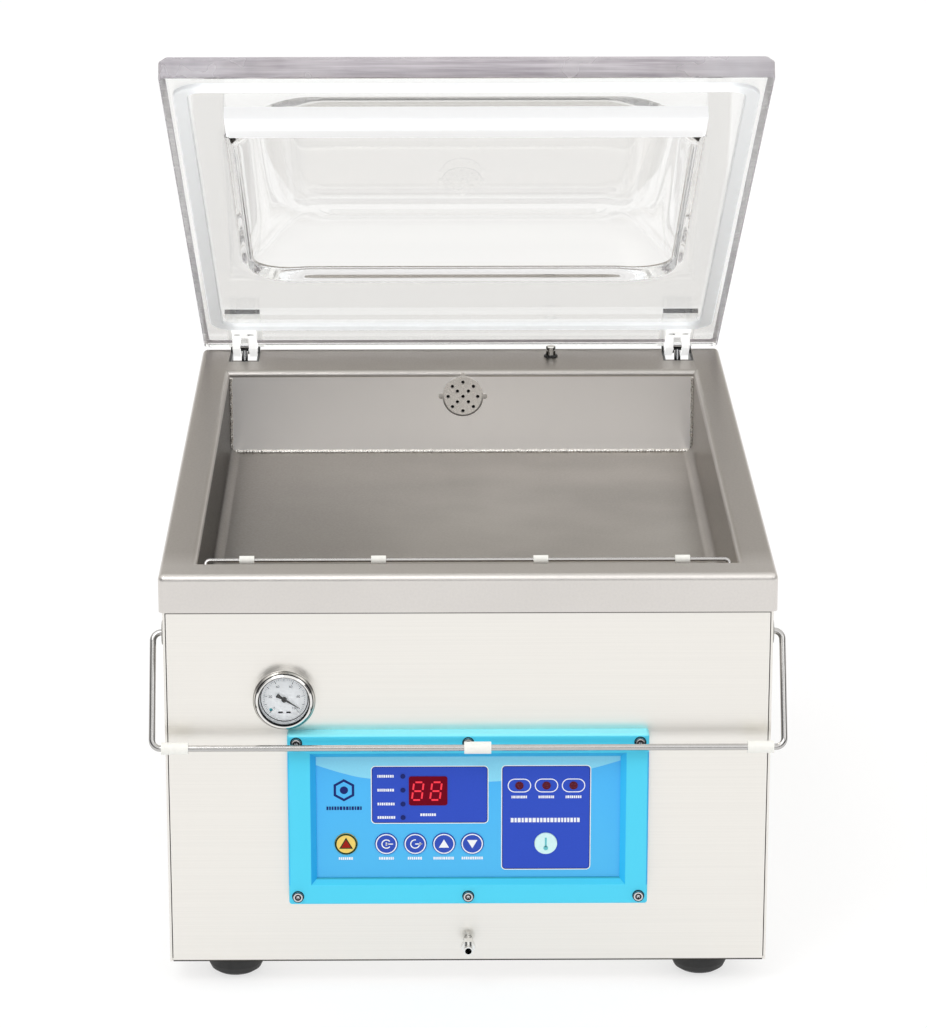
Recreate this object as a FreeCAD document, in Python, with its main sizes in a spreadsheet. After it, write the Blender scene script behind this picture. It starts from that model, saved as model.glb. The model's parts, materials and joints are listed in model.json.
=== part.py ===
"""Table-top vacuum packing machine with a clear domed lid, a welded chamber, a seal bar and a front bag bail.

X runs to the machine's right, Y to its back and Z up, in millimetres. The machine is drawn with the middle of
its rim above the origin, and every node is moved back by FRAME_SHIFT as it is written, which puts the origin on
the table under the middle of the whole outline, bail and open lid included. The lid and what it carries are
drawn closed and then turned open about the hinge axis.
"""
import FreeCAD
import Part
import math
import os
import re
import Sketcher
from FreeCAD import Placement, Rotation, Vector

SIZES = {
    # rim and casing
    "rim_width": 330, "rim_depth": 462, "rim_top": 237, "rim_height": 21, "rim_skirt": 2, "rim_plate": 4,
    "rim_round": 3.5, "case_width": 326, "case_depth": 458, "case_bottom": 14, "case_top": 222,
    "case_sheet": 1.2, "case_gap": 0.5, "base_sheet": 1.5,
    # chamber
    "chamber_width": 291, "chamber_front": 209, "chamber_rear": 176, "chamber_floor": 184,
    "chamber_sheet": 2, "chamber_bend": 6, "weld_leg": 2.2,
    "vent_x": 0.8, "vent_height": 220.7, "vent_radius": 12.8, "vent_sheet": 1.8, "vent_hole": 1.1,
    "vent_inner_ring": 4.9, "vent_outer_ring": 9.3, "vent_port": 11,
    # feet
    "foot_x": 128, "foot_y": 207, "foot_radius": 16,
    # lid
    "lid_width": 328, "lid_depth": 458, "lid_plate": 13, "lid_underside": 240, "lid_corner": 3,
    "lid_edge": 0.8, "lid_open": 33.3, "dome_front": 157, "dome_rear": 103, "dome_half": 130,
    "dome_rise": 24, "dome_hollow": 27, "dome_corner": 32,
    "gasket_width": 8, "gasket_depth": 2.6, "gasket_half": 153.5, "gasket_front": 217, "gasket_rear": 184,
    "bar_half": 131, "bar_front": 187, "bar_rear": 161, "bar_depth": 8, "bar_round": 1.5,
    "strip_half": 129, "strip_front": 180, "strip_rear": 168, "strip_depth": 3,
    # hinges and gas struts
    "hinge_x": 137.5, "hinge_y": 226, "hinge_height": 236.5, "hinge_pin": 1.8, "hinge_ear": 2.9,
    "slot_width": 19, "slot_front": 199, "slot_floor": 229, "cheek_sheet": 1.3, "cheek_gap": 16,
    "clevis_width": 15, "clevis_gap": 5.7, "clevis_front": 191, "clevis_crotch": 203, "clevis_plate": 2.4,
    "clevis_end": 3.45, "strap_width": 22, "strap_front": 174, "strap_rear": 228, "strap_sheet": 3,
    "bolt_radius": 2, "bolt_y": 197, "bolt_x": 4.3, "nut_radius": 3.8, "nut_height": 3.2,
    "strut_arm_y": 12.8, "strut_arm_drop": 0.6, "strut_pin": 2, "eye_radius": 3.5, "eye_hole": 2.5,
    "eye_width": 5, "strut_rod": 2, "strut_radius": 6, "strut_top": 12, "strut_end": 74,
    "strut_foot": 80, "strut_lower_pin": 2.5, "strut_inside": 50,
    # seal bar
    "seal_half": 131, "seal_front": 184, "seal_rear": 164, "seal_bottom": 201, "seal_top": 217.5,
    "element_depth": 2, "piston_x": 96, "piston_radius": 5, "piston_length": 12, "cylinder_radius": 9,
    "cylinder_top": 200.5,
    # bag rod in the chamber
    "rod_wire": 1.1, "rod_half": 141.2, "rod_y": 203, "rod_height": 222, "rod_arm_y": 7, "rod_arm_rise": 12,
    "rod_bend": 2.4, "rod_sleeve": 2.5, "rod_sleeve_length": 8, "rod_bush": 2.4, "rod_flange": 3.6,
    # front bail
    "bail_wire": 1.75, "bail_half": 169.25, "bail_y": 213, "bail_height": 199, "bail_reach": 30.1,
    "bail_drop": 55.3, "bail_bend": 4.6, "bail_sleeve": 3.3, "bail_bush": 4, "bail_flange": 6.5,
    # control panel
    "frame_half": 97.2, "frame_bottom": 50.9, "frame_top": 149.1, "frame_depth": 9, "frame_round": 1.6,
    "frame_bevel": 3.2, "opening_half": 82, "opening_bottom": 65.3, "opening_top": 135.5,
    "membrane_half": 84, "membrane_margin": 1.8, "membrane_face": 234, "membrane_sheet": 1.6,
    "cutout_half": 80, "cutout_bottom": 67, "cutout_top": 133.5,
    "key_radius": 6.1, "key_gap": 0.2, "key_row": 84.9, "key_proud": 0.5, "key_stem": 2,
    "board_face": 224, "board_sheet": 1.6, "lamp_radius": 2.3, "dot_radius": 1.3,
    "screw_x": 92.3, "screw_low": 55.8, "screw_high": 144.6, "screw_head": 2.9, "screw_shank": 1.5,
    # vacuum gauge
    "gauge_x": -98.5, "gauge_height": 168, "gauge_radius": 16.8, "gauge_depth": 9, "gauge_mouth": 13.2,
    "gauge_can": 15.5, "gauge_can_depth": 17, "dial_setback": 5, "dial_sheet": 0.8, "glass_sheet": 1,
    "needle_reach": 9.8, "needle_tail": 4.7, "needle_sheet": 0.4, "needle_spindle": 0.5, "needle_rest": -32,
    # air nipple
    "nipple_height": 26.5, "nipple_radius": 2.5, "nipple_bore": 1.8, "nipple_length": 16.5, "nipple_nut": 3.9,
    "nipple_nut_start": 6.5, "nipple_nut_end": 11.5,
    # lid switch
    "plunger_x": 56.9, "plunger_y": 210.1, "plunger_radius": 3, "plunger_proud": 6.7, "plunger_fit": 0.05,
    "plunger_cap": 1.8, "plunger_neck": 2.5, "collar_radius": 4.4, "collar_height": 1.2,
    # back of the casing
    "inlet_x": -110, "inlet_height": 48, "switch_x": -60, "rocker_tilt": 7,
}

AXES = {"x": Rotation(Vector(0, 1, 0), 90), "y": Rotation(Vector(1, 0, 0), -90), "z": Rotation()}
SIDES = {"left": "-1", "right": "1"}
FRAME_SHIFT = 4.0
SMALL_FIT = 0.05

doc = FreeCAD.newDocument("VacuumPackingMachine")
sheet = doc.addObject("Spreadsheet::Sheet", "Sizes")
nodes = []


def fill_sheet():
    for row, (alias, number) in enumerate(SIZES.items(), 1):
        sheet.set(f"A{row}", alias)
        sheet.set(f"B{row}", str(number))
        sheet.setAlias(f"B{row}", alias)
    doc.recompute()


def size(alias):
    return float(sheet.get(alias))


def bound(text):
    """Turn plain size names, which all hold an underscore, into references to the sheet."""
    return re.sub(r"\b([a-z]+(?:_[a-z0-9]+)+)\b", r"Sizes.\1", str(text))


def bind(thing, **expressions):
    for prop, text in expressions.items():
        thing.setExpression(prop, bound(text))
    return thing


def place(thing, at, axis="z"):
    thing.Placement = Placement(Vector(), AXES[axis])
    for letter, text in zip("xyz", at):
        thing.setExpression(f"Placement.Base.{letter}", bound(text))
    return thing


def node(thing, label):
    """Keep a finished sub-part under its own label."""
    thing.Label = label
    nodes.append(thing)
    return thing


# ---- shapes shared by the sub-parts -------------------------------------------------------------------


def box(name, low, high):
    """A block between two corners, each given as three expressions."""
    thing = doc.addObject("Part::Box", name)
    for prop, start, end in zip(("Length", "Width", "Height"), low, high):
        thing.setExpression(prop, bound(f"({end}) - ({start})"))
    return place(thing, low)


def cylinder(name, radius, length, at, axis="z"):
    thing = doc.addObject("Part::Cylinder", name)
    return place(bind(thing, Radius=radius, Height=length), at, axis)


def fuse(name, pieces):
    if len(pieces) == 1:
        return pieces[0]
    thing = doc.addObject("Part::MultiFuse", name)
    thing.Shapes = pieces
    return thing


def cut(name, base, tools):
    thing = doc.addObject("Part::Cut", name)
    thing.Base = base
    thing.Tool = fuse(f"{name}_tools", tools)
    return thing


def group(name, pieces):
    thing = doc.addObject("Part::Compound", name)
    thing.Links = pieces
    return thing


def new_body(name):
    return doc.addObject("PartDesign::Body", name)


def sketch(body, name, role="XY_Plane", offset="0"):
    """A sketch on one of the body's own planes, moved along that plane's normal."""
    thing = body.newObject("Sketcher::SketchObject", name)
    plane = next(item for item in body.Origin.OriginFeatures if item.Role == role)
    thing.AttachmentSupport = (plane, "")
    thing.MapMode = "FlatFace"
    thing.setExpression("AttachmentOffset.Base.z", bound(offset))
    return thing


def locate(drawing, shape_index, point, x, y, near):
    """Hold one point of a sketch shape at two expressions."""
    for kind, text, value in (("DistanceX", x, near.x), ("DistanceY", y, near.y)):
        row = drawing.addConstraint(Sketcher.Constraint(kind, -1, 1, shape_index, point, value))
        drawing.setExpression(f"Constraints[{row}]", bound(text))


def polygon(drawing, points):
    """A closed outline whose corners are pairs of expressions."""
    count = len(points)
    first = drawing.GeometryCount
    start = [Vector(math.cos(math.tau * i / count), math.sin(math.tau * i / count), 0) for i in range(count)]
    for i in range(count):
        drawing.addGeometry(Part.LineSegment(start[i], start[(i + 1) % count]), False)
    for i in range(count):
        following = first + (i + 1) % count
        drawing.addConstraint(Sketcher.Constraint("Coincident", first + i, 2, following, 1))
    for i, (x, y) in enumerate(points):
        locate(drawing, first + i, 1, x, y, start[i])


def rectangle(drawing, left, bottom, right, top):
    polygon(drawing, [(left, bottom), (right, bottom), (right, top), (left, top)])


def circle(drawing, x, y, radius):
    index = drawing.addGeometry(Part.Circle(Vector(1, 1, 0), Vector(0, 0, 1), 1), False)
    locate(drawing, index, 3, x, y, Vector(1, 1, 0))
    row = drawing.addConstraint(Sketcher.Constraint("Radius", index, 1))
    drawing.setExpression(f"Constraints[{row}]", bound(radius))


def rounded_rectangle(drawing, half, front, rear, corner):
    """A loop symmetrical about the machine's middle, from -front to rear, with rounded corners."""
    first = drawing.GeometryCount
    reach, bend = 100, 20
    inner = reach - bend
    corners = [(1, -1, -90), (1, 1, 0), (-1, 1, 90), (-1, -1, 180)]
    sides = [((-inner, -reach), (inner, -reach)), ((reach, -inner), (reach, inner)),
             ((inner, reach), (-inner, reach)), ((-reach, inner), (-reach, -inner))]
    for (begin, end), (x_sign, y_sign, angle) in zip(sides, corners):
        drawing.addGeometry(Part.LineSegment(Vector(*begin, 0), Vector(*end, 0)), False)
        round_corner = Part.Circle(Vector(x_sign * inner, y_sign * inner, 0), Vector(0, 0, 1), bend)
        arc = Part.ArcOfCircle(round_corner, math.radians(angle), math.radians(angle + 90))
        drawing.addGeometry(arc, False)
    for i in range(4):
        line = first + 2 * i
        arc = line + 1
        after = first + (2 * i + 2) % 8
        drawing.addConstraint(Sketcher.Constraint("Tangent", line, 2, arc, 1))
        drawing.addConstraint(Sketcher.Constraint("Tangent", arc, 2, after, 1))
        drawing.addConstraint(Sketcher.Constraint("Vertical" if i % 2 else "Horizontal", line))
        if i:
            drawing.addConstraint(Sketcher.Constraint("Equal", first + 1, arc))
    limits = [("DistanceY", 0, -reach, f"-({front})"), ("DistanceX", 1, reach, half),
              ("DistanceY", 2, reach, rear), ("DistanceX", 3, -reach, f"-({half})")]
    for kind, i, value, text in limits:
        row = drawing.addConstraint(Sketcher.Constraint(kind, -1, 1, first + 2 * i, 1, value))
        drawing.setExpression(f"Constraints[{row}]", bound(text))
    row = drawing.addConstraint(Sketcher.Constraint("Radius", first + 1, bend))
    drawing.setExpression(f"Constraints[{row}]", bound(corner))


def pad(body, drawing, length, reverse=False):
    thing = body.newObject("PartDesign::Pad", f"{drawing.Name}_pad")
    thing.Profile = drawing
    thing.Reversed = reverse
    return bind(thing, Length=length)


def pocket(body, drawing, length, reverse=False):
    """A pocket that has to remove material."""
    doc.recompute()
    before = body.Shape.Volume
    thing = body.newObject("PartDesign::Pocket", f"{drawing.Name}_pocket")
    thing.Profile = drawing
    thing.Reversed = reverse
    bind(thing, Length=length)
    doc.recompute()
    if body.Shape.Volume >= before:
        raise RuntimeError(f"{thing.Name} cuts nothing")
    return thing


def soften(body, kind, amount, wanted):
    """Fillet or chamfer the edges of the body's last feature that pass the wanted test."""
    doc.recompute()
    base = body.Tip
    names = [f"Edge{i}" for i, edge in enumerate(base.Shape.Edges, 1) if wanted(edge)]
    thing = body.newObject(f"PartDesign::{kind}", f"{body.Name}_{kind.lower()}_{len(body.Group)}")
    thing.Base = (base, names)
    return bind(thing, **{"Radius" if kind == "Fillet" else "Size": amount})


def runs_along(edge, axis):
    """Whether an edge is straight along the axis, x, y or z."""
    start, end = edge.Vertexes[0].Point, edge.Vertexes[-1].Point
    step = end - start
    return step.Length > 1e-6 and abs(getattr(step, axis)) > 0.999 * step.Length


def at_height(edge, height):
    bounds = edge.BoundBox
    return abs(bounds.ZMin - height) < 0.01 and abs(bounds.ZMax - height) < 0.01


def plate(name, role, points, offset, length):
    """A padded outline in a body of its own."""
    body = new_body(name)
    drawing = sketch(body, f"{name}_outline", role, offset)
    polygon(drawing, points)
    pad(body, drawing, length)
    return body


def turned(name, points, at, axis="z"):
    """A solid of revolution about its own Z, from (radius, height) corners, then laid along an axis."""
    body = new_body(name)
    drawing = sketch(body, f"{name}_profile", "XZ_Plane")
    polygon(drawing, points)
    thing = body.newObject("PartDesign::Revolution", f"{name}_turn")
    thing.Profile = drawing
    thing.ReferenceAxis = (drawing, ["V_Axis"])
    thing.Angle = 360
    return place(body, at, axis)


def rounded_path(corners, bend):
    """Straight runs through the corners, which are all square, joined by arcs of the bend's radius."""
    shapes = []
    start = Vector(*corners[0], 0)
    for before, corner, after in zip(corners, corners[1:], corners[2:]):
        before, corner, after = Vector(*before, 0), Vector(*corner, 0), Vector(*after, 0)
        back = corner + (before - corner).normalize() * bend
        ahead = corner + (after - corner).normalize() * bend
        centre = back + ahead - corner
        middle = centre + (corner - centre).normalize() * bend
        shapes += [Part.LineSegment(start, back), Part.Arc(back, middle, ahead)]
        start = ahead
    return shapes + [Part.LineSegment(start, Vector(*corners[-1], 0))]


def bent_wire(name, corners, bend, radius, bore=None):
    """A round wire or tube in its own XY plane; its first run lies along X."""
    body = new_body(name)
    path = sketch(body, f"{name}_path")
    path.addGeometry(rounded_path(corners, bend), False)
    profile = sketch(body, f"{name}_section", "YZ_Plane", corners[0][0])
    circle(profile, corners[0][1], "0", radius)
    if bore:
        circle(profile, corners[0][1], "0", bore)
    pipe = body.newObject("PartDesign::AdditivePipe", f"{name}_sweep")
    pipe.Profile = profile
    pipe.Spine = (path, [])
    return body


# ---- casing ------------------------------------------------------------------------------------------


def casing():
    inner_half = "case_width / 2 - case_sheet"
    inner_y = "case_depth / 2 - case_sheet"
    node(box("base", (f"-({inner_half})", f"-({inner_y})", "case_bottom"),
             (inner_half, inner_y, "case_bottom + base_sheet")), "base_plate")
    for side, sign in SIDES.items():
        low = f"{sign} * (case_width / 2 - case_sheet / 2) - case_sheet / 2"
        wall = box(f"{side}_wall", (low, "-case_depth / 2", "case_bottom"),
                   (f"{low} + case_sheet", "case_depth / 2", "case_top"))
        hole = cylinder(f"{side}_bail_hole", "bail_bush", "20",
                        (f"{low} - 10", "-bail_y", "bail_height"), "x")
        node(cut(f"side_{side}", wall, [hole]), f"side_panel_{side}")
    panel_half = "case_width / 2 - case_sheet - case_gap"
    front = box("front_sheet", (f"-({panel_half})", "-case_depth / 2", "case_bottom"),
                (panel_half, "-case_depth / 2 + case_sheet", "case_top"))
    front_holes = [
        box("keypad_cutout", ("-cutout_half", "-case_depth / 2 - 5", "cutout_bottom"),
            ("cutout_half", "-case_depth / 2 + 5", "cutout_top")),
        cylinder("gauge_cutout", "gauge_can + 0.2", "10", ("gauge_x", "-case_depth / 2 - 5", "gauge_height"),
                 "y"),
        cylinder("nipple_cutout", "nipple_radius + 0.1", "10", ("0", "-case_depth / 2 - 5", "nipple_height"),
                 "y"),
    ]
    for i, (x, z) in enumerate(panel_screw_places()):
        front_holes.append(cylinder(f"front_screw_hole_{i}", f"screw_shank + {SMALL_FIT}", "10",
                                    (x, "-case_depth / 2 - 5", z), "y"))
    node(cut("front_cut", front, front_holes), "front_panel")
    rear = box("rear_sheet", (f"-({panel_half})", "case_depth / 2 - case_sheet", "case_bottom"),
               (panel_half, "case_depth / 2", "case_top"))
    node(cut("rear_cut", rear, rear_openings()), "rear_panel")


def rear_openings():
    """Rows of cooling slots, the power inlet's cut-out and the switch's cut-out."""
    tools = []
    for column in range(3):
        for row in range(8):
            x = 10 + 48 * column
            z = 60 + 9 * row
            tools.append(box(f"vent_slot_{column}_{row}", (x, "case_depth / 2 - 5", z),
                             (x + 40, "case_depth / 2 + 5", z + 4)))
    tools.append(box("inlet_cutout", ("inlet_x - 13.6", "case_depth / 2 - 5", "inlet_height - 9.9"),
                     ("inlet_x + 13.6", "case_depth / 2 + 5", "inlet_height + 9.9")))
    tools.append(box("switch_cutout", ("switch_x - 9.6", "case_depth / 2 - 5", "inlet_height - 13.6"),
                     ("switch_x + 9.6", "case_depth / 2 + 5", "inlet_height + 13.6")))
    return tools


FOOT_PROFILE = [(0, 0), (0.46, 0), (0.7, 0.07), (0.86, 0.2), (0.95, 0.42), (0.99, 0.7), (1, 1), (0, 1)]


def feet():
    """Bowl-shaped rubber feet, each step of the profile a share of the radius and of the height."""
    profile = [(f"{out} * foot_radius", f"{up} * case_bottom") for out, up in FOOT_PROFILE]
    pieces = []
    for name, x, y in (("front_left", -1, -1), ("front_right", 1, -1), ("rear_left", -1, 1),
                       ("rear_right", 1, 1)):
        pieces.append(turned(f"foot_{name}", profile, (f"{x} * foot_x", f"{y} * foot_y", "0")))
    node(group("foot_set", pieces), "feet")


# ---- rim and chamber ---------------------------------------------------------------------------------


def rim():
    body = new_body("rim_body")
    outline = sketch(body, "rim_outline", offset="rim_top - rim_height")
    rectangle(outline, "-rim_width / 2", "-rim_depth / 2", "rim_width / 2", "rim_depth / 2")
    pad(body, outline, "rim_height")
    top = size("rim_top")
    soften(body, "Fillet", "rim_round", lambda edge: runs_along(edge, "z") or at_height(edge, top))
    inside = sketch(body, "rim_inside", offset="rim_top - rim_height")
    rectangle(inside, "-rim_width / 2 + rim_skirt", "-rim_depth / 2 + rim_skirt",
              "rim_width / 2 - rim_skirt", "rim_depth / 2 - rim_skirt")
    pocket(body, inside, "rim_height - rim_plate", reverse=True)
    mouth = sketch(body, "rim_mouth", offset="rim_top")
    rectangle(mouth, "-chamber_width / 2", "-chamber_front", "chamber_width / 2", "chamber_rear")
    pocket(body, mouth, "rim_plate + 1")
    doc.recompute()
    half = size("chamber_width") / 2
    soften(body, "Fillet", "rim_plate - 1",
           lambda edge: at_height(edge, top) and abs(edge.CenterOfMass.x) <= half + 0.1
           and -size("chamber_front") - 0.1 <= edge.CenterOfMass.y <= size("chamber_rear") + 0.1)
    tools = [cylinder("plunger_hole", "plunger_radius + plunger_fit", "20",
                      ("plunger_x", "plunger_y", "rim_top - 10"))]
    for side, sign in SIDES.items():
        tools.append(box(f"hinge_slot_{side}",
                         (f"{sign} * hinge_x - slot_width / 2", "slot_front", "slot_floor"),
                         (f"{sign} * hinge_x + slot_width / 2", "rim_depth / 2 + 5", "rim_top + 5")))
    node(cut("rim_cut", body, tools), "rim_frame")


def chamber():
    body = new_body("tub_body")
    wall = "chamber_sheet"
    outline = sketch(body, "tub_outline", offset=f"chamber_floor - {wall}")
    rectangle(outline, f"-chamber_width / 2 - {wall}", f"-chamber_front - {wall}",
              f"chamber_width / 2 + {wall}", f"chamber_rear + {wall}")
    pad(body, outline, f"rim_top - rim_plate - chamber_floor + {wall}")
    inside = sketch(body, "tub_inside", offset="rim_top - rim_plate")
    rectangle(inside, "-chamber_width / 2", "-chamber_front", "chamber_width / 2", "chamber_rear")
    pocket(body, inside, "rim_top - rim_plate - chamber_floor")
    floor = size("chamber_floor")
    for height, bend in ((floor, "chamber_bend"), (floor - size(wall), f"chamber_bend + {wall}")):
        soften(body, "Fillet", bend,
               lambda edge, level=height: runs_along(edge, "y") and at_height(edge, level))
    tools = [cylinder("suction_port", "vent_port", "10", ("vent_x", "chamber_rear - 5", "vent_height"), "y")]
    for side, sign in SIDES.items():
        tools.append(cylinder(f"rod_hole_{side}", "rod_bush", "10",
                              (f"{sign} * chamber_width / 2 - 5", "-rod_y", "rod_height"), "x"))
    node(cut("tub_cut", body, tools), "chamber_tub")


def weld_beads():
    """Corner welds of the rear wall: one up each side and one along the floor."""
    leg = "weld_leg"
    pieces = [plate("floor_weld", "YZ_Plane",
                    [("chamber_rear", "chamber_floor"), ("chamber_rear", f"chamber_floor + {leg}"),
                     (f"chamber_rear - {leg}", "chamber_floor")],
                    "-chamber_width / 2 + chamber_bend", "chamber_width - 2 * chamber_bend")]
    for side, sign in SIDES.items():
        corner = f"{sign} * chamber_width / 2"
        pieces.append(plate(f"{side}_weld", "XY_Plane",
                            [(corner, "chamber_rear"), (f"{corner} - {sign} * {leg}", "chamber_rear"),
                             (corner, f"chamber_rear - {leg}")],
                            "chamber_floor + chamber_bend",
                            "rim_top - rim_plate - chamber_floor - chamber_bend"))
    node(group("weld_set", pieces), "weld_beads")


def vent_disc():
    disc = cylinder("vent_blank", "vent_radius", "vent_sheet",
                    ("vent_x", "chamber_rear - vent_sheet", "vent_height"), "y")
    holes = [("0", "0")]
    for i in range(4):
        angle = 45 + 90 * i
        holes.append((f"vent_inner_ring * cos({angle})", f"vent_inner_ring * sin({angle})"))
    for i in range(8):
        angle = 45 * i
        holes.append((f"vent_outer_ring * cos({angle})", f"vent_outer_ring * sin({angle})"))
    drills = [cylinder(f"vent_hole_{i}", "vent_hole", "10",
                       (f"vent_x + {x}", "chamber_rear - 5", f"vent_height + {z}"), "y")
              for i, (x, z) in enumerate(holes)]
    perforated = cut("vent_cut", disc, drills)
    tabs = [cylinder(f"vent_tab_{i}", "1.7", "1.4",
                     (f"vent_x + (vent_radius + 0.8) * cos({angle})", "chamber_rear - 1.4",
                      f"vent_height + (vent_radius + 0.8) * sin({angle})"), "y")
            for i, angle in enumerate((0, 90, 180))]
    node(fuse("vent_whole", [perforated, *tabs]), "vent_disc")


def suction_hose():
    """Hose from the chamber's suction port down to the pump."""
    rear = size("chamber_rear") + size("chamber_sheet")
    height = size("vent_height")
    body = bent_wire("hose", [(rear, height), (rear + 24, height), (rear + 24, 120), (85, 120)], 16,
                     "vent_port", "vent_outer_ring")
    upright = Rotation(Vector(0, 1, 0), Vector(0, 0, 1), Vector(), "XYZ")
    body.Placement = Placement(Vector(size("vent_x"), 0, 0), upright)
    node(body, "suction_hose")


# ---- seal bar ----------------------------------------------------------------------------------------


def seal_bar():
    bar = box("bar_block", ("-seal_half", "-seal_front", "seal_bottom"),
              ("seal_half", "-seal_rear", "seal_top"))
    middle = "-(seal_front + seal_rear) / 2"
    pistons = []
    housings = []
    for side, sign in SIDES.items():
        spot = (f"{sign} * piston_x", middle)
        pistons.append(cylinder(f"piston_{side}", "piston_radius", "piston_length + 1",
                                (*spot, "seal_bottom - piston_length")))
        shell = cylinder(f"lift_shell_{side}", "cylinder_radius", "cylinder_top - chamber_floor",
                         (*spot, "chamber_floor"))
        bore = cylinder(f"lift_bore_{side}", f"piston_radius + {SMALL_FIT}", "20",
                        (*spot, "seal_bottom - piston_length - 0.5"))
        housings.append(cut(f"lift_{side}", shell, [bore]))
    node(fuse("bar_with_pistons", [bar, *pistons]), "seal_bar")
    node(group("lift_set", housings), "lift_cylinders")
    strip = box("element_strip", ("-seal_half", "-seal_front + 1.5", "seal_top"),
                ("seal_half", "-seal_rear - 1.5", "seal_top + element_depth"))
    soft = doc.addObject("Part::Fillet", "element_round")
    soft.Base = strip
    doc.recompute()
    top = size("seal_top") + size("element_depth")
    soft.Edges = [(i, 0.8, 0.8) for i, edge in enumerate(strip.Shape.Edges, 1)
                  if runs_along(edge, "x") and at_height(edge, top)]
    node(soft, "heating_element")


# ---- bag rod and front bail --------------------------------------------------------------------------


def bag_rod():
    half = size("rod_half")
    reach = math.hypot(size("rod_arm_y"), size("rod_arm_rise"))
    end = size("chamber_width") / 2 + 1.5
    wire = bent_wire("rod_wire_body",
                     [(-end, 0), (-half, 0), (-half, reach), (half, reach), (half, 0), (end, 0)],
                     size("rod_bend"), "rod_wire")
    tilt = math.degrees(math.atan2(size("rod_arm_rise"), size("rod_arm_y")))
    turn = Rotation(Vector(1, 0, 0), tilt)
    wire.Placement = Placement(Vector(0, -size("rod_y"), size("rod_height")), turn)
    node(wire, "bag_rod")
    sleeves = []
    for i, x in enumerate((-119, -48, 39.5, 116)):
        start = (f"{x} - rod_sleeve_length / 2", "-rod_y + rod_arm_y", "rod_height + rod_arm_rise")
        outer = cylinder(f"rod_sleeve_{i}", "rod_sleeve", "rod_sleeve_length", start, "x")
        inner = cylinder(f"rod_sleeve_bore_{i}", f"rod_wire + {SMALL_FIT}", "rod_sleeve_length", start, "x")
        sleeves.append(cut(f"rod_sleeve_cut_{i}", outer, [inner]))
    node(group("rod_sleeve_set", sleeves), "bag_rod_sleeves")
    bushes = []
    for side, sign in SIDES.items():
        bushes.append(flanged_bush(f"rod_bush_{side}", sign, "chamber_width / 2", "-1", "rod_bush",
                                   "rod_flange", "rod_wire", "1.2", "chamber_sheet", "-rod_y", "rod_height"))
    node(group("rod_bush_set", bushes), "bag_rod_bushes")


def flanged_bush(name, sign, face, flange_way, radius, flange, bore, flange_depth, depth, y, z):
    """A bush through a wall whose flange lies on the wall's face, towards flange_way along X."""
    def low_end(away, length):
        """Where a length begins along X when it starts at the wall's face and runs away from it or not."""
        start = f"{sign} * ({face})"
        return start if float(sign) * away > 0 else f"{start} - ({length})"

    barrel = cylinder(f"{name}_barrel", f"{radius} - 0.02", depth,
                      (low_end(-float(flange_way), depth), y, z), "x")
    rim_disc = cylinder(f"{name}_flange", flange, flange_depth,
                        (low_end(float(flange_way), flange_depth), y, z), "x")
    whole = fuse(f"{name}_whole", [barrel, rim_disc])
    hole = cylinder(f"{name}_bore", f"{bore} + {SMALL_FIT}", "20", (f"{sign} * ({face}) - 10", y, z), "x")
    return cut(name, whole, [hole])


def front_bail():
    half = size("bail_half")
    reach = math.hypot(size("bail_reach"), size("bail_drop"))
    end = size("case_width") / 2 - size("case_sheet") - 3
    wire = bent_wire("bail_wire_body",
                     [(-end, 0), (-half, 0), (-half, reach), (half, reach), (half, 0), (end, 0)],
                     size("bail_bend"), "bail_wire")
    tilt = math.degrees(math.atan2(-size("bail_drop"), -size("bail_reach")))
    turn = Rotation(Vector(1, 0, 0), tilt)
    wire.Placement = Placement(Vector(0, -size("bail_y"), size("bail_height")), turn)
    node(wire, "bail")
    sleeves = []
    for i, (x, length) in enumerate(((-157, 14.4), (5, 14.4), (156.5, 14))):
        start = (x - length / 2, "-bail_y - bail_reach", "bail_height - bail_drop")
        outer = cylinder(f"bail_sleeve_{i}", "bail_sleeve", length, start, "x")
        inner = cylinder(f"bail_sleeve_bore_{i}", f"bail_wire + {SMALL_FIT}", length, start, "x")
        sleeves.append(cut(f"bail_sleeve_cut_{i}", outer, [inner]))
    node(group("bail_sleeve_set", sleeves), "bail_sleeves")
    bushes = [flanged_bush(f"bail_bush_{side}", sign, "case_width / 2", "1", "bail_bush", "bail_flange",
                           "bail_wire", "1.4", "case_sheet + 2", "-bail_y", "bail_height")
              for side, sign in SIDES.items()]
    node(group("bail_bush_set", bushes), "bail_bushes")


# ---- control panel -----------------------------------------------------------------------------------

KEYS = {"stop": -66.1, "vacuum": -44.3, "seal": -28.7, "plus": -13.1, "minus": 2.2, "heat": 42}


def panel_screw_places():
    return [(x, z) for z in ("screw_low", "screw_high") for x in ("-screw_x", "0", "screw_x")]


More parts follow.
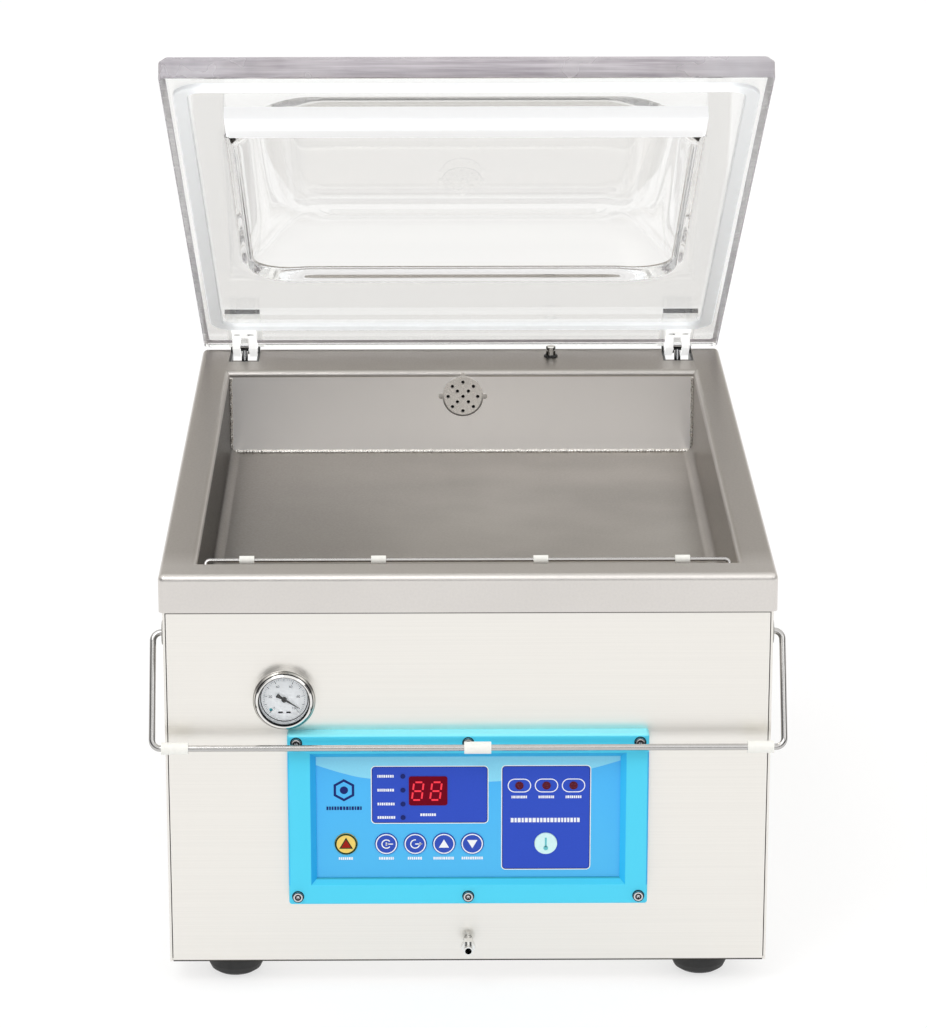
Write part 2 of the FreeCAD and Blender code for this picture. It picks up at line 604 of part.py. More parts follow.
def control_frame():
    face = "case_depth / 2"
    body = new_body("frame_body")
    outline = sketch(body, "frame_outline", "XZ_Plane", face)
    rectangle(outline, "-frame_half", "frame_bottom", "frame_half", "frame_top")
    pad(body, outline, "frame_depth")
    front = -size("case_depth") / 2 - size("frame_depth")

    def on_front(edge):
        return abs(edge.BoundBox.YMin - front) < 0.01 and abs(edge.BoundBox.YMax - front) < 0.01

    soften(body, "Fillet", "frame_round", lambda edge: on_front(edge) or runs_along(edge, "y"))
    opening = sketch(body, "frame_opening", "XZ_Plane", face)
    rectangle(opening, "-opening_half", "opening_bottom", "opening_half", "opening_top")
    pocket(body, opening, "frame_depth + 1", reverse=True)
    soften(body, "Chamfer", "frame_bevel",
           lambda edge: on_front(edge) and abs(edge.CenterOfMass.x) < size("opening_half") + 0.1
           and size("opening_bottom") - 0.1 < edge.CenterOfMass.z < size("opening_top") + 0.1)
    rabbet = sketch(body, "frame_rabbet", "XZ_Plane", face)
    rectangle(rabbet, "-membrane_half - 0.2", "opening_bottom - membrane_margin - 0.2",
              "membrane_half + 0.2", "opening_top + membrane_margin + 0.2")
    pocket(body, rabbet, f"membrane_face - {face}", reverse=True)
    drills = [cylinder(f"frame_screw_hole_{i}", f"screw_shank + {SMALL_FIT}", "20",
                       (x, f"-{face} - 15", z), "y") for i, (x, z) in enumerate(panel_screw_places())]
    node(cut("frame_cut", body, drills), "control_frame")


def panel_screws():
    face = "-case_depth / 2 - frame_depth"
    screws = []
    for i, (x, z) in enumerate(panel_screw_places()):
        head = cylinder(f"screw_head_{i}", "screw_head", "1.7", (x, f"{face} - 1.7", z), "y")
        shank = cylinder(f"screw_shank_{i}", "screw_shank", "frame_depth + 4", (x, face, z), "y")
        whole = fuse(f"screw_whole_{i}", [head, shank])
        slots = [box(f"screw_slot_{i}_{turn}", (f"{x} - {wide}", f"{face} - 1.8", f"{z} - {tall}"),
                     (f"{x} + {wide}", f"{face} - 0.8", f"{z} + {tall}"))
                 for turn, (wide, tall) in enumerate(((1.7, 0.35), (0.35, 1.7)))]
        screws.append(cut(f"panel_screw_{i}", whole, slots))
    node(group("panel_screw_set", screws), "panel_screws")


def lamp_places():
    dots = [("-35.2", z, "dot_radius") for z in ("124", "116", "108", "100.2")]
    return dots + [(x, "118.4", "lamp_radius") for x in ("27.6", "42.2", "56.8")]


def keypad():
    sheet_box = box("membrane_blank", ("-membrane_half", "-membrane_face", "opening_bottom - membrane_margin"),
                    ("membrane_half", "-membrane_face + membrane_sheet", "opening_top + membrane_margin"))
    display_low = ("-32", "-membrane_face - 0.4", "107.2")
    display_high = ("-11.2", "-board_face", "123.9")
    tools = [box("display_hole", ("-32.15", "-membrane_face - 5", "107.05"),
                 ("-11.05", "-membrane_face + 5", "124.05"))]
    for name, x in KEYS.items():
        tools.append(cylinder(f"{name}_key_hole", "key_radius + key_gap", "10",
                              (x, "-membrane_face - 5", "key_row"), "y"))
    for i, (x, z, radius) in enumerate(lamp_places()):
        tools.append(cylinder(f"lamp_hole_{i}", f"{radius} + 0.1", "10", (x, "-membrane_face - 5", z), "y"))
    node(cut("membrane_cut", sheet_box, tools), "membrane_plate")
    node(box("display_block", display_low, display_high), "display")
    length = "membrane_face - board_face + 0.3"
    lamps = [cylinder(f"lamp_{i}", radius, length, (x, "-membrane_face - 0.3", z), "y")
             for i, (x, z, radius) in enumerate(lamp_places())]
    node(group("lamp_set", lamps), "indicator_lamps")
    for name, x in KEYS.items():
        cap = cylinder(f"{name}_cap", "key_radius", "key_proud + membrane_sheet + 0.4",
                       (x, "-membrane_face - key_proud", "key_row"), "y")
        stem = cylinder(f"{name}_stem", "key_stem", "membrane_face - board_face - 0.6",
                        (x, "-membrane_face", "key_row"), "y")
        node(fuse(f"{name}_whole", [cap, stem]), f"key_{name}")
    node(box("board_sheet_box", ("-membrane_half + 5", "-board_face", "opening_bottom + 2"),
             ("membrane_half - 5", "-board_face + board_sheet", "opening_top - 2")), "control_board")


# ---- gauge and nipple --------------------------------------------------------------------------------


def gauge():
    """Each turned piece points its own +Z out of the machine's front."""
    face = "-case_depth / 2"
    centre = ("gauge_x", face, "gauge_height")

    def facing_out(name, points, label):
        body = turned(name, points, centre)
        body.Placement.Rotation = Rotation(Vector(1, 0, 0), 90)
        node(body, label)

    facing_out("bezel", [("gauge_can + 0.1", "0"), ("gauge_radius", "0"), ("gauge_radius", "gauge_depth - 3"),
                         ("gauge_radius - 1.2", "gauge_depth - 0.8"), ("gauge_radius - 2.2", "gauge_depth"),
                         ("gauge_mouth + 0.6", "gauge_depth"), ("gauge_mouth", "gauge_depth - 1"),
                         ("gauge_mouth", "gauge_depth - 2"), ("gauge_can + 0.1", "gauge_depth - 2")],
               "gauge_bezel")
    facing_out("glass", [("0", "gauge_depth - 2 - glass_sheet"), ("gauge_can", "gauge_depth - 2 - glass_sheet"),
                         ("gauge_can", "gauge_depth - 2"), ("0", "gauge_depth - 2")], "gauge_glass")
    dial_front = "gauge_depth - 2 - dial_setback + 1.4"
    facing_out("dial", [("needle_spindle + 0.05", f"{dial_front} - dial_sheet"),
                        ("gauge_can", f"{dial_front} - dial_sheet"), ("gauge_can", dial_front),
                        ("needle_spindle + 0.05", dial_front)], "gauge_dial")
    back = f"{dial_front} - dial_sheet"
    facing_out("can", [("2", f"{back} - 2"), ("2", f"{back}"), ("gauge_can", back),
                       ("gauge_can", "-gauge_can_depth"), ("5", "-gauge_can_depth"),
                       ("5", "-gauge_can_depth - 12"), ("0", "-gauge_can_depth - 12"), ("0", f"{back} - 2")],
               "gauge_case")
    needle(centre, dial_front)


def needle(centre, dial_front):
    """Flat pointer with a spade tail, on a spindle through the dial, turned to its rest angle."""
    low = f"{dial_front} + 1"
    blade = plate("needle_blade", "XY_Plane",
                  [("1.2", "-0.55"), ("needle_reach", "-0.12"), ("needle_reach", "0.12"), ("1.2", "0.55"),
                   ("-1.2", "0.5"), ("-needle_tail", "1.3"), ("-needle_tail", "-1.3"), ("-1.2", "-0.5")],
                  low, "needle_sheet")
    hub = cylinder("needle_hub", "1.5", "needle_sheet + 0.5", ("0", "0", low))
    spindle = cylinder("needle_pin", "needle_spindle", "3.4", ("0", "0", f"{dial_front} - dial_sheet - 1.2"))
    whole = fuse("needle_whole", [blade, hub, spindle])
    place(whole, centre)
    turn = Rotation(Vector(0, -1, 0), size("needle_rest"))
    whole.Placement.Rotation = turn * Rotation(Vector(1, 0, 0), 90)
    node(whole, "gauge_needle")


def air_nipple():
    """A short tube through the front panel with a hexagon around its middle."""
    face = "-case_depth / 2"
    nut = doc.addObject("Part::Prism", "nipple_hex")
    nut.Polygon = 6
    bind(nut, Circumradius="nipple_nut", Height="nipple_nut_end - nipple_nut_start")
    place(nut, ("0", f"{face} - nipple_nut_end", "nipple_height"), "y")
    tube = cylinder("nipple_tube", "nipple_radius", "nipple_length + 8",
                    ("0", f"{face} - nipple_length", "nipple_height"), "y")
    lock_nut = cylinder("nipple_lock_nut", "nipple_radius + 3", "3",
                        ("0", f"{face} + case_sheet", "nipple_height"), "y")
    bore = cylinder("nipple_bore_hole", "nipple_bore", "40", ("0", f"{face} - 30", "nipple_height"), "y")
    node(cut("nipple_cut", fuse("nipple_solid", [nut, tube, lock_nut]), [bore]), "air_nipple")


# ---- lid ---------------------------------------------------------------------------------------------


def lid_pose():
    """The turn about the hinge axis from closed to open."""
    axis_point = Vector(0, size("hinge_y"), size("hinge_height"))
    return Placement(Vector(), Rotation(Vector(1, 0, 0), -size("lid_open")), axis_point)


def lid_node(thing, label):
    doc.recompute()
    thing.Placement = lid_pose() * thing.Placement
    node(thing, label)


DOME_OUTSIDE = [(0, 4), (0.22, -3), (0.6, -11), (0.9, -22), (1, -34)]
DOME_INSIDE = [(0, 0), (0.25, -8), (0.62, -17), (0.9, -28), (1, -40)]


def dome_loft(body, name, kind, base, rise, steps):
    """Loft rounded rectangles; each step is a share of the rise and how far the loop grows there."""
    loops = []
    for i, (share, grow) in enumerate(steps):
        drawing = sketch(body, f"{name}_{i}", offset=f"{base} + {share} * {rise}")
        rounded_rectangle(drawing, f"dome_half + {grow}", f"dome_front + {grow}", f"dome_rear + {grow}",
                          f"dome_corner + {grow} * 0.35")
        loops.append(drawing)
    loft = body.newObject(f"PartDesign::{kind}", f"{name}_loft")
    loft.Profile = loops[0]
    loft.Sections = loops[1:]
    return loft


def lid():
    body = new_body("lid_body")
    outline = sketch(body, "lid_outline", offset="lid_underside")
    half_x, half_y, corner = "lid_width / 2", "lid_depth / 2", "lid_corner"
    polygon(outline, [(f"-{half_x} + {corner}", f"-{half_y}"), (f"{half_x} - {corner}", f"-{half_y}"),
                      (half_x, f"-{half_y} + {corner}"), (half_x, f"{half_y} - {corner}"),
                      (f"{half_x} - {corner}", half_y), (f"-{half_x} + {corner}", half_y),
                      (f"-{half_x}", f"{half_y} - {corner}"), (f"-{half_x}", f"-{half_y} + {corner}")])
    pad(body, outline, "lid_plate")
    top = size("lid_underside") + size("lid_plate")
    soften(body, "Chamfer", "lid_edge", lambda edge: at_height(edge, top))
    dome_loft(body, "dome_outside", "AdditiveLoft", "lid_underside + lid_plate - 0.5", "(dome_rise + 0.5)",
              DOME_OUTSIDE)
    dome_loft(body, "dome_inside", "SubtractiveLoft", "lid_underside", "dome_hollow", DOME_INSIDE)
    hole = f"bolt_radius + {SMALL_FIT}"
    tools = [cylinder(f"lid_hole_{i}", hole, "40", (x, "bolt_y", "lid_underside - 10"))
             for i, x in enumerate(bolt_xs())]
    lid_node(cut("lid_cut", body, tools), "lid")


def bolt_xs():
    return [f"{side} * hinge_x + {offset} * bolt_x" for side in SIDES.values() for offset in (-1, 1)]


def lid_gasket():
    body = new_body("gasket_body")
    loop = sketch(body, "gasket_loop", offset="lid_underside - gasket_depth")
    for grow in ("gasket_width / 2", "-gasket_width / 2"):
        rounded_rectangle(loop, f"gasket_half + {grow}", f"gasket_front + {grow}", f"gasket_rear + {grow}",
                          f"12 + {grow}")
    pad(body, loop, "gasket_depth")
    low = size("lid_underside") - size("gasket_depth")
    soften(body, "Fillet", "1", lambda edge: at_height(edge, low))
    lid_node(body, "lid_gasket")


def pressure_bar():
    body = new_body("pressure_body")
    outline = sketch(body, "pressure_outline", offset="lid_underside")
    rectangle(outline, "-bar_half", "-bar_front", "bar_half", "-bar_rear")
    pad(body, outline, "bar_depth", reverse=True)
    low = size("lid_underside") - size("bar_depth")
    soften(body, "Fillet", "bar_round", lambda edge: at_height(edge, low))
    lid_node(body, "pressure_bar")
    strip = new_body("strip_body")
    drawing = sketch(strip, "strip_outline", offset="lid_underside - bar_depth")
    rectangle(drawing, "-strip_half", "-strip_front", "strip_half", "-strip_rear")
    pad(strip, drawing, "strip_depth", reverse=True)
    lowest = low - size("strip_depth")
    soften(strip, "Fillet", "1.2", lambda edge: at_height(edge, lowest) and runs_along(edge, "x"))
    lid_node(strip, "silicone_strip")


def clevises():
    """Forks under the lid: a plate bolted to it and two legs that reach back to the hinge pin."""
    forks, pins, straps, bolts = [], [], [], []
    leg = "(clevis_width - clevis_gap) / 2"
    arm_y, arm_z = "hinge_y - strut_arm_y", "hinge_height - strut_arm_drop"
    for side, sign in SIDES.items():
        left = f"{sign} * hinge_x - clevis_width / 2"
        right = f"{sign} * hinge_x + clevis_width / 2"
        parts = [box(f"fork_plate_{side}", (left, "clevis_front", "lid_underside - clevis_plate"),
                     (right, "clevis_crotch", "lid_underside"))]
        for i, low in enumerate((left, f"{right} - {leg}")):
            parts.append(plate(f"fork_leg_{side}_{i}", "YZ_Plane",
                               [("clevis_front", "lid_underside"),
                                ("clevis_front", "lid_underside - clevis_plate"),
                                ("clevis_crotch - 1", "lid_underside - clevis_plate"),
                                ("clevis_crotch + 6", "hinge_height - 4.2"),
                                (f"{arm_y} + 4", "hinge_height - 4.2"),
                                ("hinge_y", "hinge_height - clevis_end"),
                                ("hinge_y", "lid_underside")], low, leg))
            parts.append(cylinder(f"fork_end_{side}_{i}", "clevis_end", leg, (low, "hinge_y", "hinge_height"),
                                  "x"))
        drills = [cylinder(f"fork_pin_hole_{side}", f"hinge_pin + {SMALL_FIT}", "40",
                           (f"{left} - 10", "hinge_y", "hinge_height"), "x"),
                  cylinder(f"fork_arm_hole_{side}", f"strut_pin + {SMALL_FIT}", "40",
                           (f"{left} - 10", arm_y, arm_z), "x")]
        for i, offset in enumerate((-1, 1)):
            drills.append(cylinder(f"fork_bolt_hole_{side}_{i}", f"bolt_radius + {SMALL_FIT}", "10",
                                   (f"{sign} * hinge_x + {offset} * bolt_x", "bolt_y", "lid_underside - 6")))
        forks.append(cut(f"fork_{side}", fuse(f"fork_whole_{side}", parts), drills))
        pins.append(cylinder(f"strut_pin_{side}", "strut_pin", "clevis_width - 0.4",
                             (f"{left} + 0.2", arm_y, arm_z), "x"))
        blank = box(f"strap_{side}", (f"{sign} * hinge_x - strap_width / 2", "strap_front",
                                      "lid_underside + lid_plate"),
                    (f"{sign} * hinge_x + strap_width / 2", "strap_rear",
                     "lid_underside + lid_plate + strap_sheet"))
        straps.append(cut(f"strap_cut_{side}", blank, [
            cylinder(f"strap_hole_{side}_{i}", f"bolt_radius + {SMALL_FIT}", "10",
                     (f"{sign} * hinge_x + {offset} * bolt_x", "bolt_y", "lid_underside + lid_plate - 3"))
            for i, offset in enumerate((-1, 1))]))
    for i, x in enumerate(bolt_xs()):
        shank = cylinder(f"bolt_shank_{i}", "bolt_radius", "clevis_plate + lid_plate + strap_sheet + 1",
                         (x, "bolt_y", "lid_underside - clevis_plate"))
        nut = cylinder(f"bolt_nut_{i}", "nut_radius", "nut_height",
                       (x, "bolt_y", "lid_underside + lid_plate + strap_sheet"))
        bolts.append(fuse(f"bolt_{i}", [shank, nut]))
    lid_node(group("fork_set", forks), "hinge_clevises")
    lid_node(group("strut_pin_set", pins), "strut_pins")
    lid_node(group("strap_set", straps), "clamp_straps")
    lid_node(group("bolt_set", bolts), "clevis_bolts")


# ---- fixed half of the hinges and the gas struts ------------------------------------------------------


def strut_line():
    """The strut's eye with the lid open, and its straight line of travel from low to high."""
    axis_point = Vector(0, size("hinge_y"), size("hinge_height"))
    closed = axis_point + Vector(0, -size("strut_arm_y"), -size("strut_arm_drop"))
    opened = lid_pose().multVec(closed)
    travel = opened - closed
    along = Vector(travel).normalize()
    outwards = Vector(0, -along.z, along.y)
    bulge = (closed - axis_point).Length * (1 - math.cos(math.radians(size("lid_open") / 2)))
    return opened + outwards * bulge / 2, along, travel.Length


def strut_placement(sign):
    eye, along, _ = strut_line()
    return Placement(eye + Vector(float(sign) * size("hinge_x"), 0, 0), Rotation(Vector(0, 0, 1), along))


def struts():
    """The rod and its cylinder are drawn upright with the eye at their own origin."""
    cylinders, pins = [], []
    for side, sign in SIDES.items():
        eye = cylinder(f"eye_{side}", "eye_radius", "eye_width", ("-eye_width / 2", "0", "0"), "x")
        rod = cylinder(f"rod_{side}", "strut_rod", "strut_top + strut_inside",
                       ("0", "0", "-strut_top - strut_inside"))
        hole = cylinder(f"eye_hole_{side}", "eye_hole", "20", ("-10", "0", "0"), "x")
        whole = cut(f"strut_rod_cut_{side}", fuse(f"strut_rod_whole_{side}", [eye, rod]), [hole])
        doc.recompute()
        whole.Placement = strut_placement(sign)
        node(whole, f"strut_rod_{side}")
        tube = cylinder(f"tube_{side}", "strut_radius", "strut_end - strut_top", ("0", "0", "-strut_end"))
        lug = cylinder(f"lug_{side}", "strut_lower_pin + 2", "6", ("-3", "0", "-strut_foot"), "x")
        neck = cylinder(f"neck_{side}", "2.6", "4.5", ("0", "0", "-strut_end - 3.5"))
        bore = cylinder(f"tube_bore_{side}", f"strut_rod + {SMALL_FIT}", "strut_inside + 10",
                        ("0", "0", "-strut_top - strut_inside - 8"))
        pin_hole = cylinder(f"lug_hole_{side}", f"strut_lower_pin + {SMALL_FIT}", "20",
                            ("-10", "0", "-strut_foot"), "x")
        tube_whole = cut(f"tube_cut_{side}", fuse(f"tube_whole_{side}", [tube, lug, neck]), [bore, pin_hole])
        doc.recompute()
        tube_whole.Placement = strut_placement(sign)
        cylinders.append(tube_whole)
        pins.append(cylinder(f"hinge_pin_{side}", "hinge_pin", "cheek_gap + 2 * cheek_sheet",
                             (f"{sign} * hinge_x - cheek_gap / 2 - cheek_sheet", "hinge_y", "hinge_height"),
                             "x"))
        lower = cylinder(f"lower_pin_{side}", "strut_lower_pin", "cheek_gap + 2 * cheek_sheet",
                         ("-cheek_gap / 2 - cheek_sheet", "0", "-strut_foot"), "x")
        held = group(f"lower_pin_set_{side}", [lower])
        held.Placement = strut_placement(sign)
        pins.append(held)
    node(group("tube_set", cylinders), "strut_cylinders")
    node(group("pin_set", pins), "hinge_pins")


def hinge_bases():
    """Brackets under the rim: two cheeks that hold the hinge pin above and the strut's foot below."""
    eye, along, _ = strut_line()
    foot = eye - along * size("strut_foot")
    foot_y, foot_z = round(foot.y, 2), round(foot.z, 2)
    for side, sign in SIDES.items():
        middle = f"{sign} * hinge_x"
        parts = []
        for i, low in enumerate((f"{middle} - cheek_gap / 2 - cheek_sheet", f"{middle} + cheek_gap / 2")):
            parts.append(plate(f"cheek_{side}_{i}", "YZ_Plane",
                               [("slot_front + 0.2", "rim_top - 0.1"), ("slot_front + 0.2", "slot_floor + 2"),
                                (f"{foot_y} - 9", "slot_floor - 14"), (f"{foot_y} - 9", f"{foot_z} - 8"),
                                (f"{foot_y} + 9", f"{foot_z} - 8"), ("hinge_y + 1.5", "case_top - 4"),
                                ("hinge_y + 1.5", "rim_top - 0.1")], low, "cheek_sheet"))
            parts.append(cylinder(f"ear_{side}_{i}", "hinge_ear", "cheek_sheet",
                                  (low, "hinge_y", "hinge_height"), "x"))
            outward = -1 if i == 0 else 1
            edge = f"{middle} + {outward} * (cheek_gap / 2 + cheek_sheet)"
            flange = sorted((outward * 0, outward * 8))
            parts.append(box(f"flange_{side}_{i}", (f"{edge} + {flange[0]}", "slot_front + 4",
                                                    "rim_top - rim_plate - 2"),
                             (f"{edge} + {flange[1]}", "hinge_y - 1", "rim_top - rim_plate")))
        parts.append(box(f"web_{side}", (f"{middle} - cheek_gap / 2", "slot_front + 0.2", "case_top - 2"),
                         (f"{middle} + cheek_gap / 2", "slot_front + 0.2 + cheek_sheet", "rim_top - 0.1")))
        drills = [cylinder(f"base_pin_hole_{side}", f"hinge_pin + {SMALL_FIT}", "40",
                           (f"{middle} - 20", "hinge_y", "hinge_height"), "x"),
                  cylinder(f"base_foot_hole_{side}", f"strut_lower_pin + {SMALL_FIT}", "40",
                           (f"{middle} - 20", foot.y, foot.z), "x")]
        node(cut(f"hinge_base_cut_{side}", fuse(f"hinge_base_whole_{side}", parts), drills),
             f"hinge_base_{side}")


def lid_switch():
    """A stepped plunger through the rim, its collar, and the microswitch on a bracket below."""
    height = "(rim_top + plunger_proud - case_top)"
    profile = [("0", "0"), ("plunger_radius", "0"), ("plunger_radius", f"{height} - plunger_cap - 0.9"),
               ("plunger_neck", f"{height} - plunger_cap - 0.6"), ("plunger_neck", f"{height} - plunger_cap"),
               ("plunger_radius", f"{height} - plunger_cap + 0.3"), ("plunger_radius", f"{height} - 0.5"),
               ("plunger_radius - 0.5", height), ("0", height)]
    node(turned("plunger_body", profile, ("plunger_x", "plunger_y", "case_top")), "switch_plunger")
    bracket = box("switch_bracket", ("plunger_x - 9", "chamber_rear + chamber_sheet", "204"),
                  ("plunger_x + 9", "plunger_y + 7", "206"))
    body = box("switch_body", ("plunger_x - 10", "plunger_y - 6", "206"),
               ("plunger_x + 10", "plunger_y + 6", "217.3"))
    collar = turned("plunger_collar", [("plunger_radius + 0.1", "0"), ("collar_radius", "0"),
                                       ("collar_radius", "0.6"), ("collar_radius - 0.5", "collar_height"),
                                       ("plunger_radius + 0.1", "collar_height")],
                    ("plunger_x", "plunger_y", "rim_top"))
    node(group("lid_switch_set", [fuse("lid_switch_whole", [bracket, body]), collar]), "lid_switch")


# ---- inside and back of the casing --------------------------------------------------------------------


def machinery():
    floor = "case_bottom + base_sheet"
    block = box("pump_block", ("-85", "-35", f"{floor} + 14"), ("25", "85", f"{floor} + 120"))
    rails = [box(f"pump_rail_{i}", ("-80", y, floor), ("20", y + 18, f"{floor} + 14"))
             for i, y in enumerate((-30, 62))]
    node(fuse("pump_whole", [block, *rails]), "vacuum_pump")
    shell = cylinder("motor_shell", "48", "100", ("25", "25", f"{floor} + 62"), "x")
    cover = cylinder("motor_cover", "51", "22", ("125", "25", f"{floor} + 62"), "x")
    stand = box("motor_stand", ("45", "-5", floor), ("110", "55", f"{floor} + 20"))
    node(fuse("motor_whole", [shell, cover, stand]), "pump_motor")
    valves = []
    for i, x in enumerate((-145, -115)):
        block = box(f"valve_block_{i}", (x, "100", floor), (x + 24, "130", f"{floor} + 24"))
        coil = cylinder(f"valve_coil_{i}", "10", "32", (x + 12, "115", f"{floor} + 24"))
        valves.append(fuse(f"valve_{i}", [block, coil]))
    node(group("valve_set", valves), "solenoid_valves")


def power_inlet():
    face = "case_depth / 2"
    flange = box("inlet_flange", ("inlet_x - 24", face, "inlet_height - 13"),
                 ("inlet_x + 24", f"{face} + 3", "inlet_height + 13"))
    shell = box("inlet_shell", ("inlet_x - 13.5", f"{face} - 20", "inlet_height - 9.8"),
                ("inlet_x + 13.5", face, "inlet_height + 9.8"))
    cavity = box("inlet_cavity", ("inlet_x - 12", f"{face} - 15", "inlet_height - 8.3"),
                 ("inlet_x + 12", f"{face} + 4", "inlet_height + 8.3"))
    hollow = cut("inlet_hollow", fuse("inlet_solid", [flange, shell]), [cavity])
    pins = [box(f"inlet_pin_{i}", (f"inlet_x + {x} - 1", f"{face} - 15.5", f"inlet_height + {z} - 2"),
                (f"inlet_x + {x} + 1", f"{face} - 1", f"inlet_height + {z} + 2"))
            for i, (x, z) in enumerate(((-7, -1.5), (0, 2.5), (7, -1.5)))]
    node(fuse("inlet_whole", [hollow, *pins]), "power_inlet")


def power_switch():
    """A rocker in a framed housing; the rocker turns about X on a pin inside it."""
    face = "case_depth / 2"
    flange = box("switch_flange", ("switch_x - 11", face, "inlet_height - 15"),
                 ("switch_x + 11", f"{face} + 2", "inlet_height + 15"))
    shell = box("switch_shell", ("switch_x - 9.5", f"{face} - 22", "inlet_height - 13.5"),
                ("switch_x + 9.5", face, "inlet_height + 13.5"))
    cavity = box("switch_cavity", ("switch_x - 7.3", f"{face} - 14", "inlet_height - 12"),
                 ("switch_x + 7.3", f"{face} + 3", "inlet_height + 12"))
    pin = cylinder("rocker_pin", "1.5", "14.8", ("switch_x - 7.4", f"{face} - 3", "inlet_height"), "x")
    hollow = cut("switch_hollow", fuse("switch_solid", [flange, shell]), [cavity])
    node(fuse("switch_whole", [hollow, pin]), "switch_housing")
    paddle = plate("rocker_body", "YZ_Plane",
                   [("-4.5", "-4"), ("1.5", "-11"), ("6", "-11"), ("4", "0"), ("6", "11"), ("1.5", "11"),
                    ("-4.5", "4")], "-7", "14")
    hole = cylinder("rocker_hole", f"1.5 + {SMALL_FIT}", "40", ("-20", "0", "0"), "x")
    rocker = cut("rocker_cut", paddle, [hole])
    doc.recompute()
    centre = Vector(size("switch_x"), size("case_depth") / 2 - 3, size("inlet_height"))
    rocker.Placement = Placement(centre, Rotation(Vector(1, 0, 0), -size("rocker_tilt")))
    node(rocker, "power_rocker")


# ---- whole machine -------------------------------------------------------------------------------------


def check_and_write():
    doc.recompute()
    for thing in doc.Objects:
        if "Invalid" in thing.State or "Error" in thing.State:
            raise RuntimeError(f"{thing.Name} failed: {thing.State}")
    for thing in nodes:
        shape = thing.Shape
        if shape.isNull() or not shape.isValid() or not shape.Solids:
            raise RuntimeError(f"{thing.Label} has no valid solid")
    os.makedirs("parts", exist_ok=True)
    for thing in nodes:
        shape = thing.Shape.copy()
        shape.translate(Vector(0, FRAME_SHIFT, 0))
        shape.exportStep(f"parts/{thing.Label}.step")
        bounds = shape.BoundBox
        print(f"{thing.Label}: {len(shape.Solids)} solid(s), {shape.Volume:.0f} mm3, "
              f"y {bounds.YMin:.1f}..{bounds.YMax:.1f}, z {bounds.ZMin:.1f}..{bounds.ZMax:.1f}")
    _, along, travel = strut_line()
    print(f"{len(nodes)} nodes; strut travel {travel:.3f} mm along {along}")


fill_sheet()
for build in (casing, feet, rim, chamber, weld_beads, vent_disc, suction_hose, seal_bar, bag_rod, front_bail,
              control_frame, panel_screws, keypad, gauge, air_nipple, lid, lid_gasket, pressure_bar, clevises,
              struts, hinge_bases, lid_switch, machinery, power_inlet, power_switch):
    build()
check_and_write()
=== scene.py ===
"""Looks of the table-top vacuum packing machine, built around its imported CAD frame."""

import json
import math

import bpy
import numpy as np
from mathutils import Euler, Matrix, Vector


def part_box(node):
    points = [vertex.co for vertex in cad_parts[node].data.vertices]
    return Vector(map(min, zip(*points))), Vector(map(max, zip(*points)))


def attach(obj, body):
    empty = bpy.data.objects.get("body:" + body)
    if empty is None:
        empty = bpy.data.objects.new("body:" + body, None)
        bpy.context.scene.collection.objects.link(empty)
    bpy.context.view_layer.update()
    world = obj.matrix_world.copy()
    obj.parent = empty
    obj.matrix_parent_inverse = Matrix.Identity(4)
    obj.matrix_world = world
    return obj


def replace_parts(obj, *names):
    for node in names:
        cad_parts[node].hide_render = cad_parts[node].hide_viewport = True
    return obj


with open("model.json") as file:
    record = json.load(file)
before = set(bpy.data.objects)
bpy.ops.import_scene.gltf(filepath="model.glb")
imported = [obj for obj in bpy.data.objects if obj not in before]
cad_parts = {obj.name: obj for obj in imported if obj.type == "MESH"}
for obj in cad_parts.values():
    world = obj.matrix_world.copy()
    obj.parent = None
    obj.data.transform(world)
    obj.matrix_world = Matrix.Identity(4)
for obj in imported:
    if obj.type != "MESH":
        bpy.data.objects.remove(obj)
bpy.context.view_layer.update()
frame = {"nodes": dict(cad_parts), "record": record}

# Places and sizes are in millimetres in the frame's axes; MM turns them into metres for Blender.
MM = 0.001
LID_OPEN = math.radians(33.3)
HINGE = (230.0, 236.5)  # Y and Z of the lid's axis
RIM_MIDDLE = 4.0  # Y of the middle of the rim and of the lid
GAUGE = (-98.5, 168.0)  # X and Z of the gauge's middle
VENT = (0.8, 220.7)  # X and Z of the suction disc's middle

# Front faces of the control panel's parts, as Y.
PANEL_FACE = -230.0
LAMP_FACE = -230.3
KEY_FACE = -230.5
FRAME_FACE = -234.0
SCREW_FACE = -235.7
PRINT = 0.08  # thickness of a printed film

# X and Z of what is on the control panel.
WINDOW_ONE = (-52.0, 97.0, 10.5, 129.5)
WINDOW_TWO = (18.3, 70.0, 65.8, 129.7)
DOT_X, DOT_ROWS = -35.2, (124.0, 116.0, 108.0, 100.2)
LAMP_XS, LAMP_ROW = (27.6, 42.2, 56.8), 118.4
KEY_ROW = 84.9
KEY_HOLE = 6.3
KEY_XS = {"stop": -66.1, "vacuum": -44.3, "seal": -28.7, "plus": -13.1, "minus": 2.2, "heat": 42.0}
SCREW_XS, SCREW_ROWS = (-92.3, 0.0, 92.3), (55.8, 144.6)

WHITE = (0.93, 0.95, 0.97)
NAVY = (0.012, 0.022, 0.16)
CASING = (0.85, 0.825, 0.78)
STEEL = (0.72, 0.69, 0.66)
SHADE = (0.05, 0.045, 0.04)  # painted shade in the gaps between sheets, and painted dark reflections in steel


# ---------------------------------------------------------------- materials

def add(material, kind, **inputs):
    node = material.node_tree.nodes.new(kind)
    for name, value in inputs.items():
        node.inputs[name].default_value = value
    return node


def join(material, start, end):
    material.node_tree.links.new(start, end)


def blank(name):
    material = bpy.data.materials.new(name)
    material.use_nodes = True
    return material, shader_of(material)


def shader_of(material):
    return material.node_tree.nodes["Principled BSDF"]


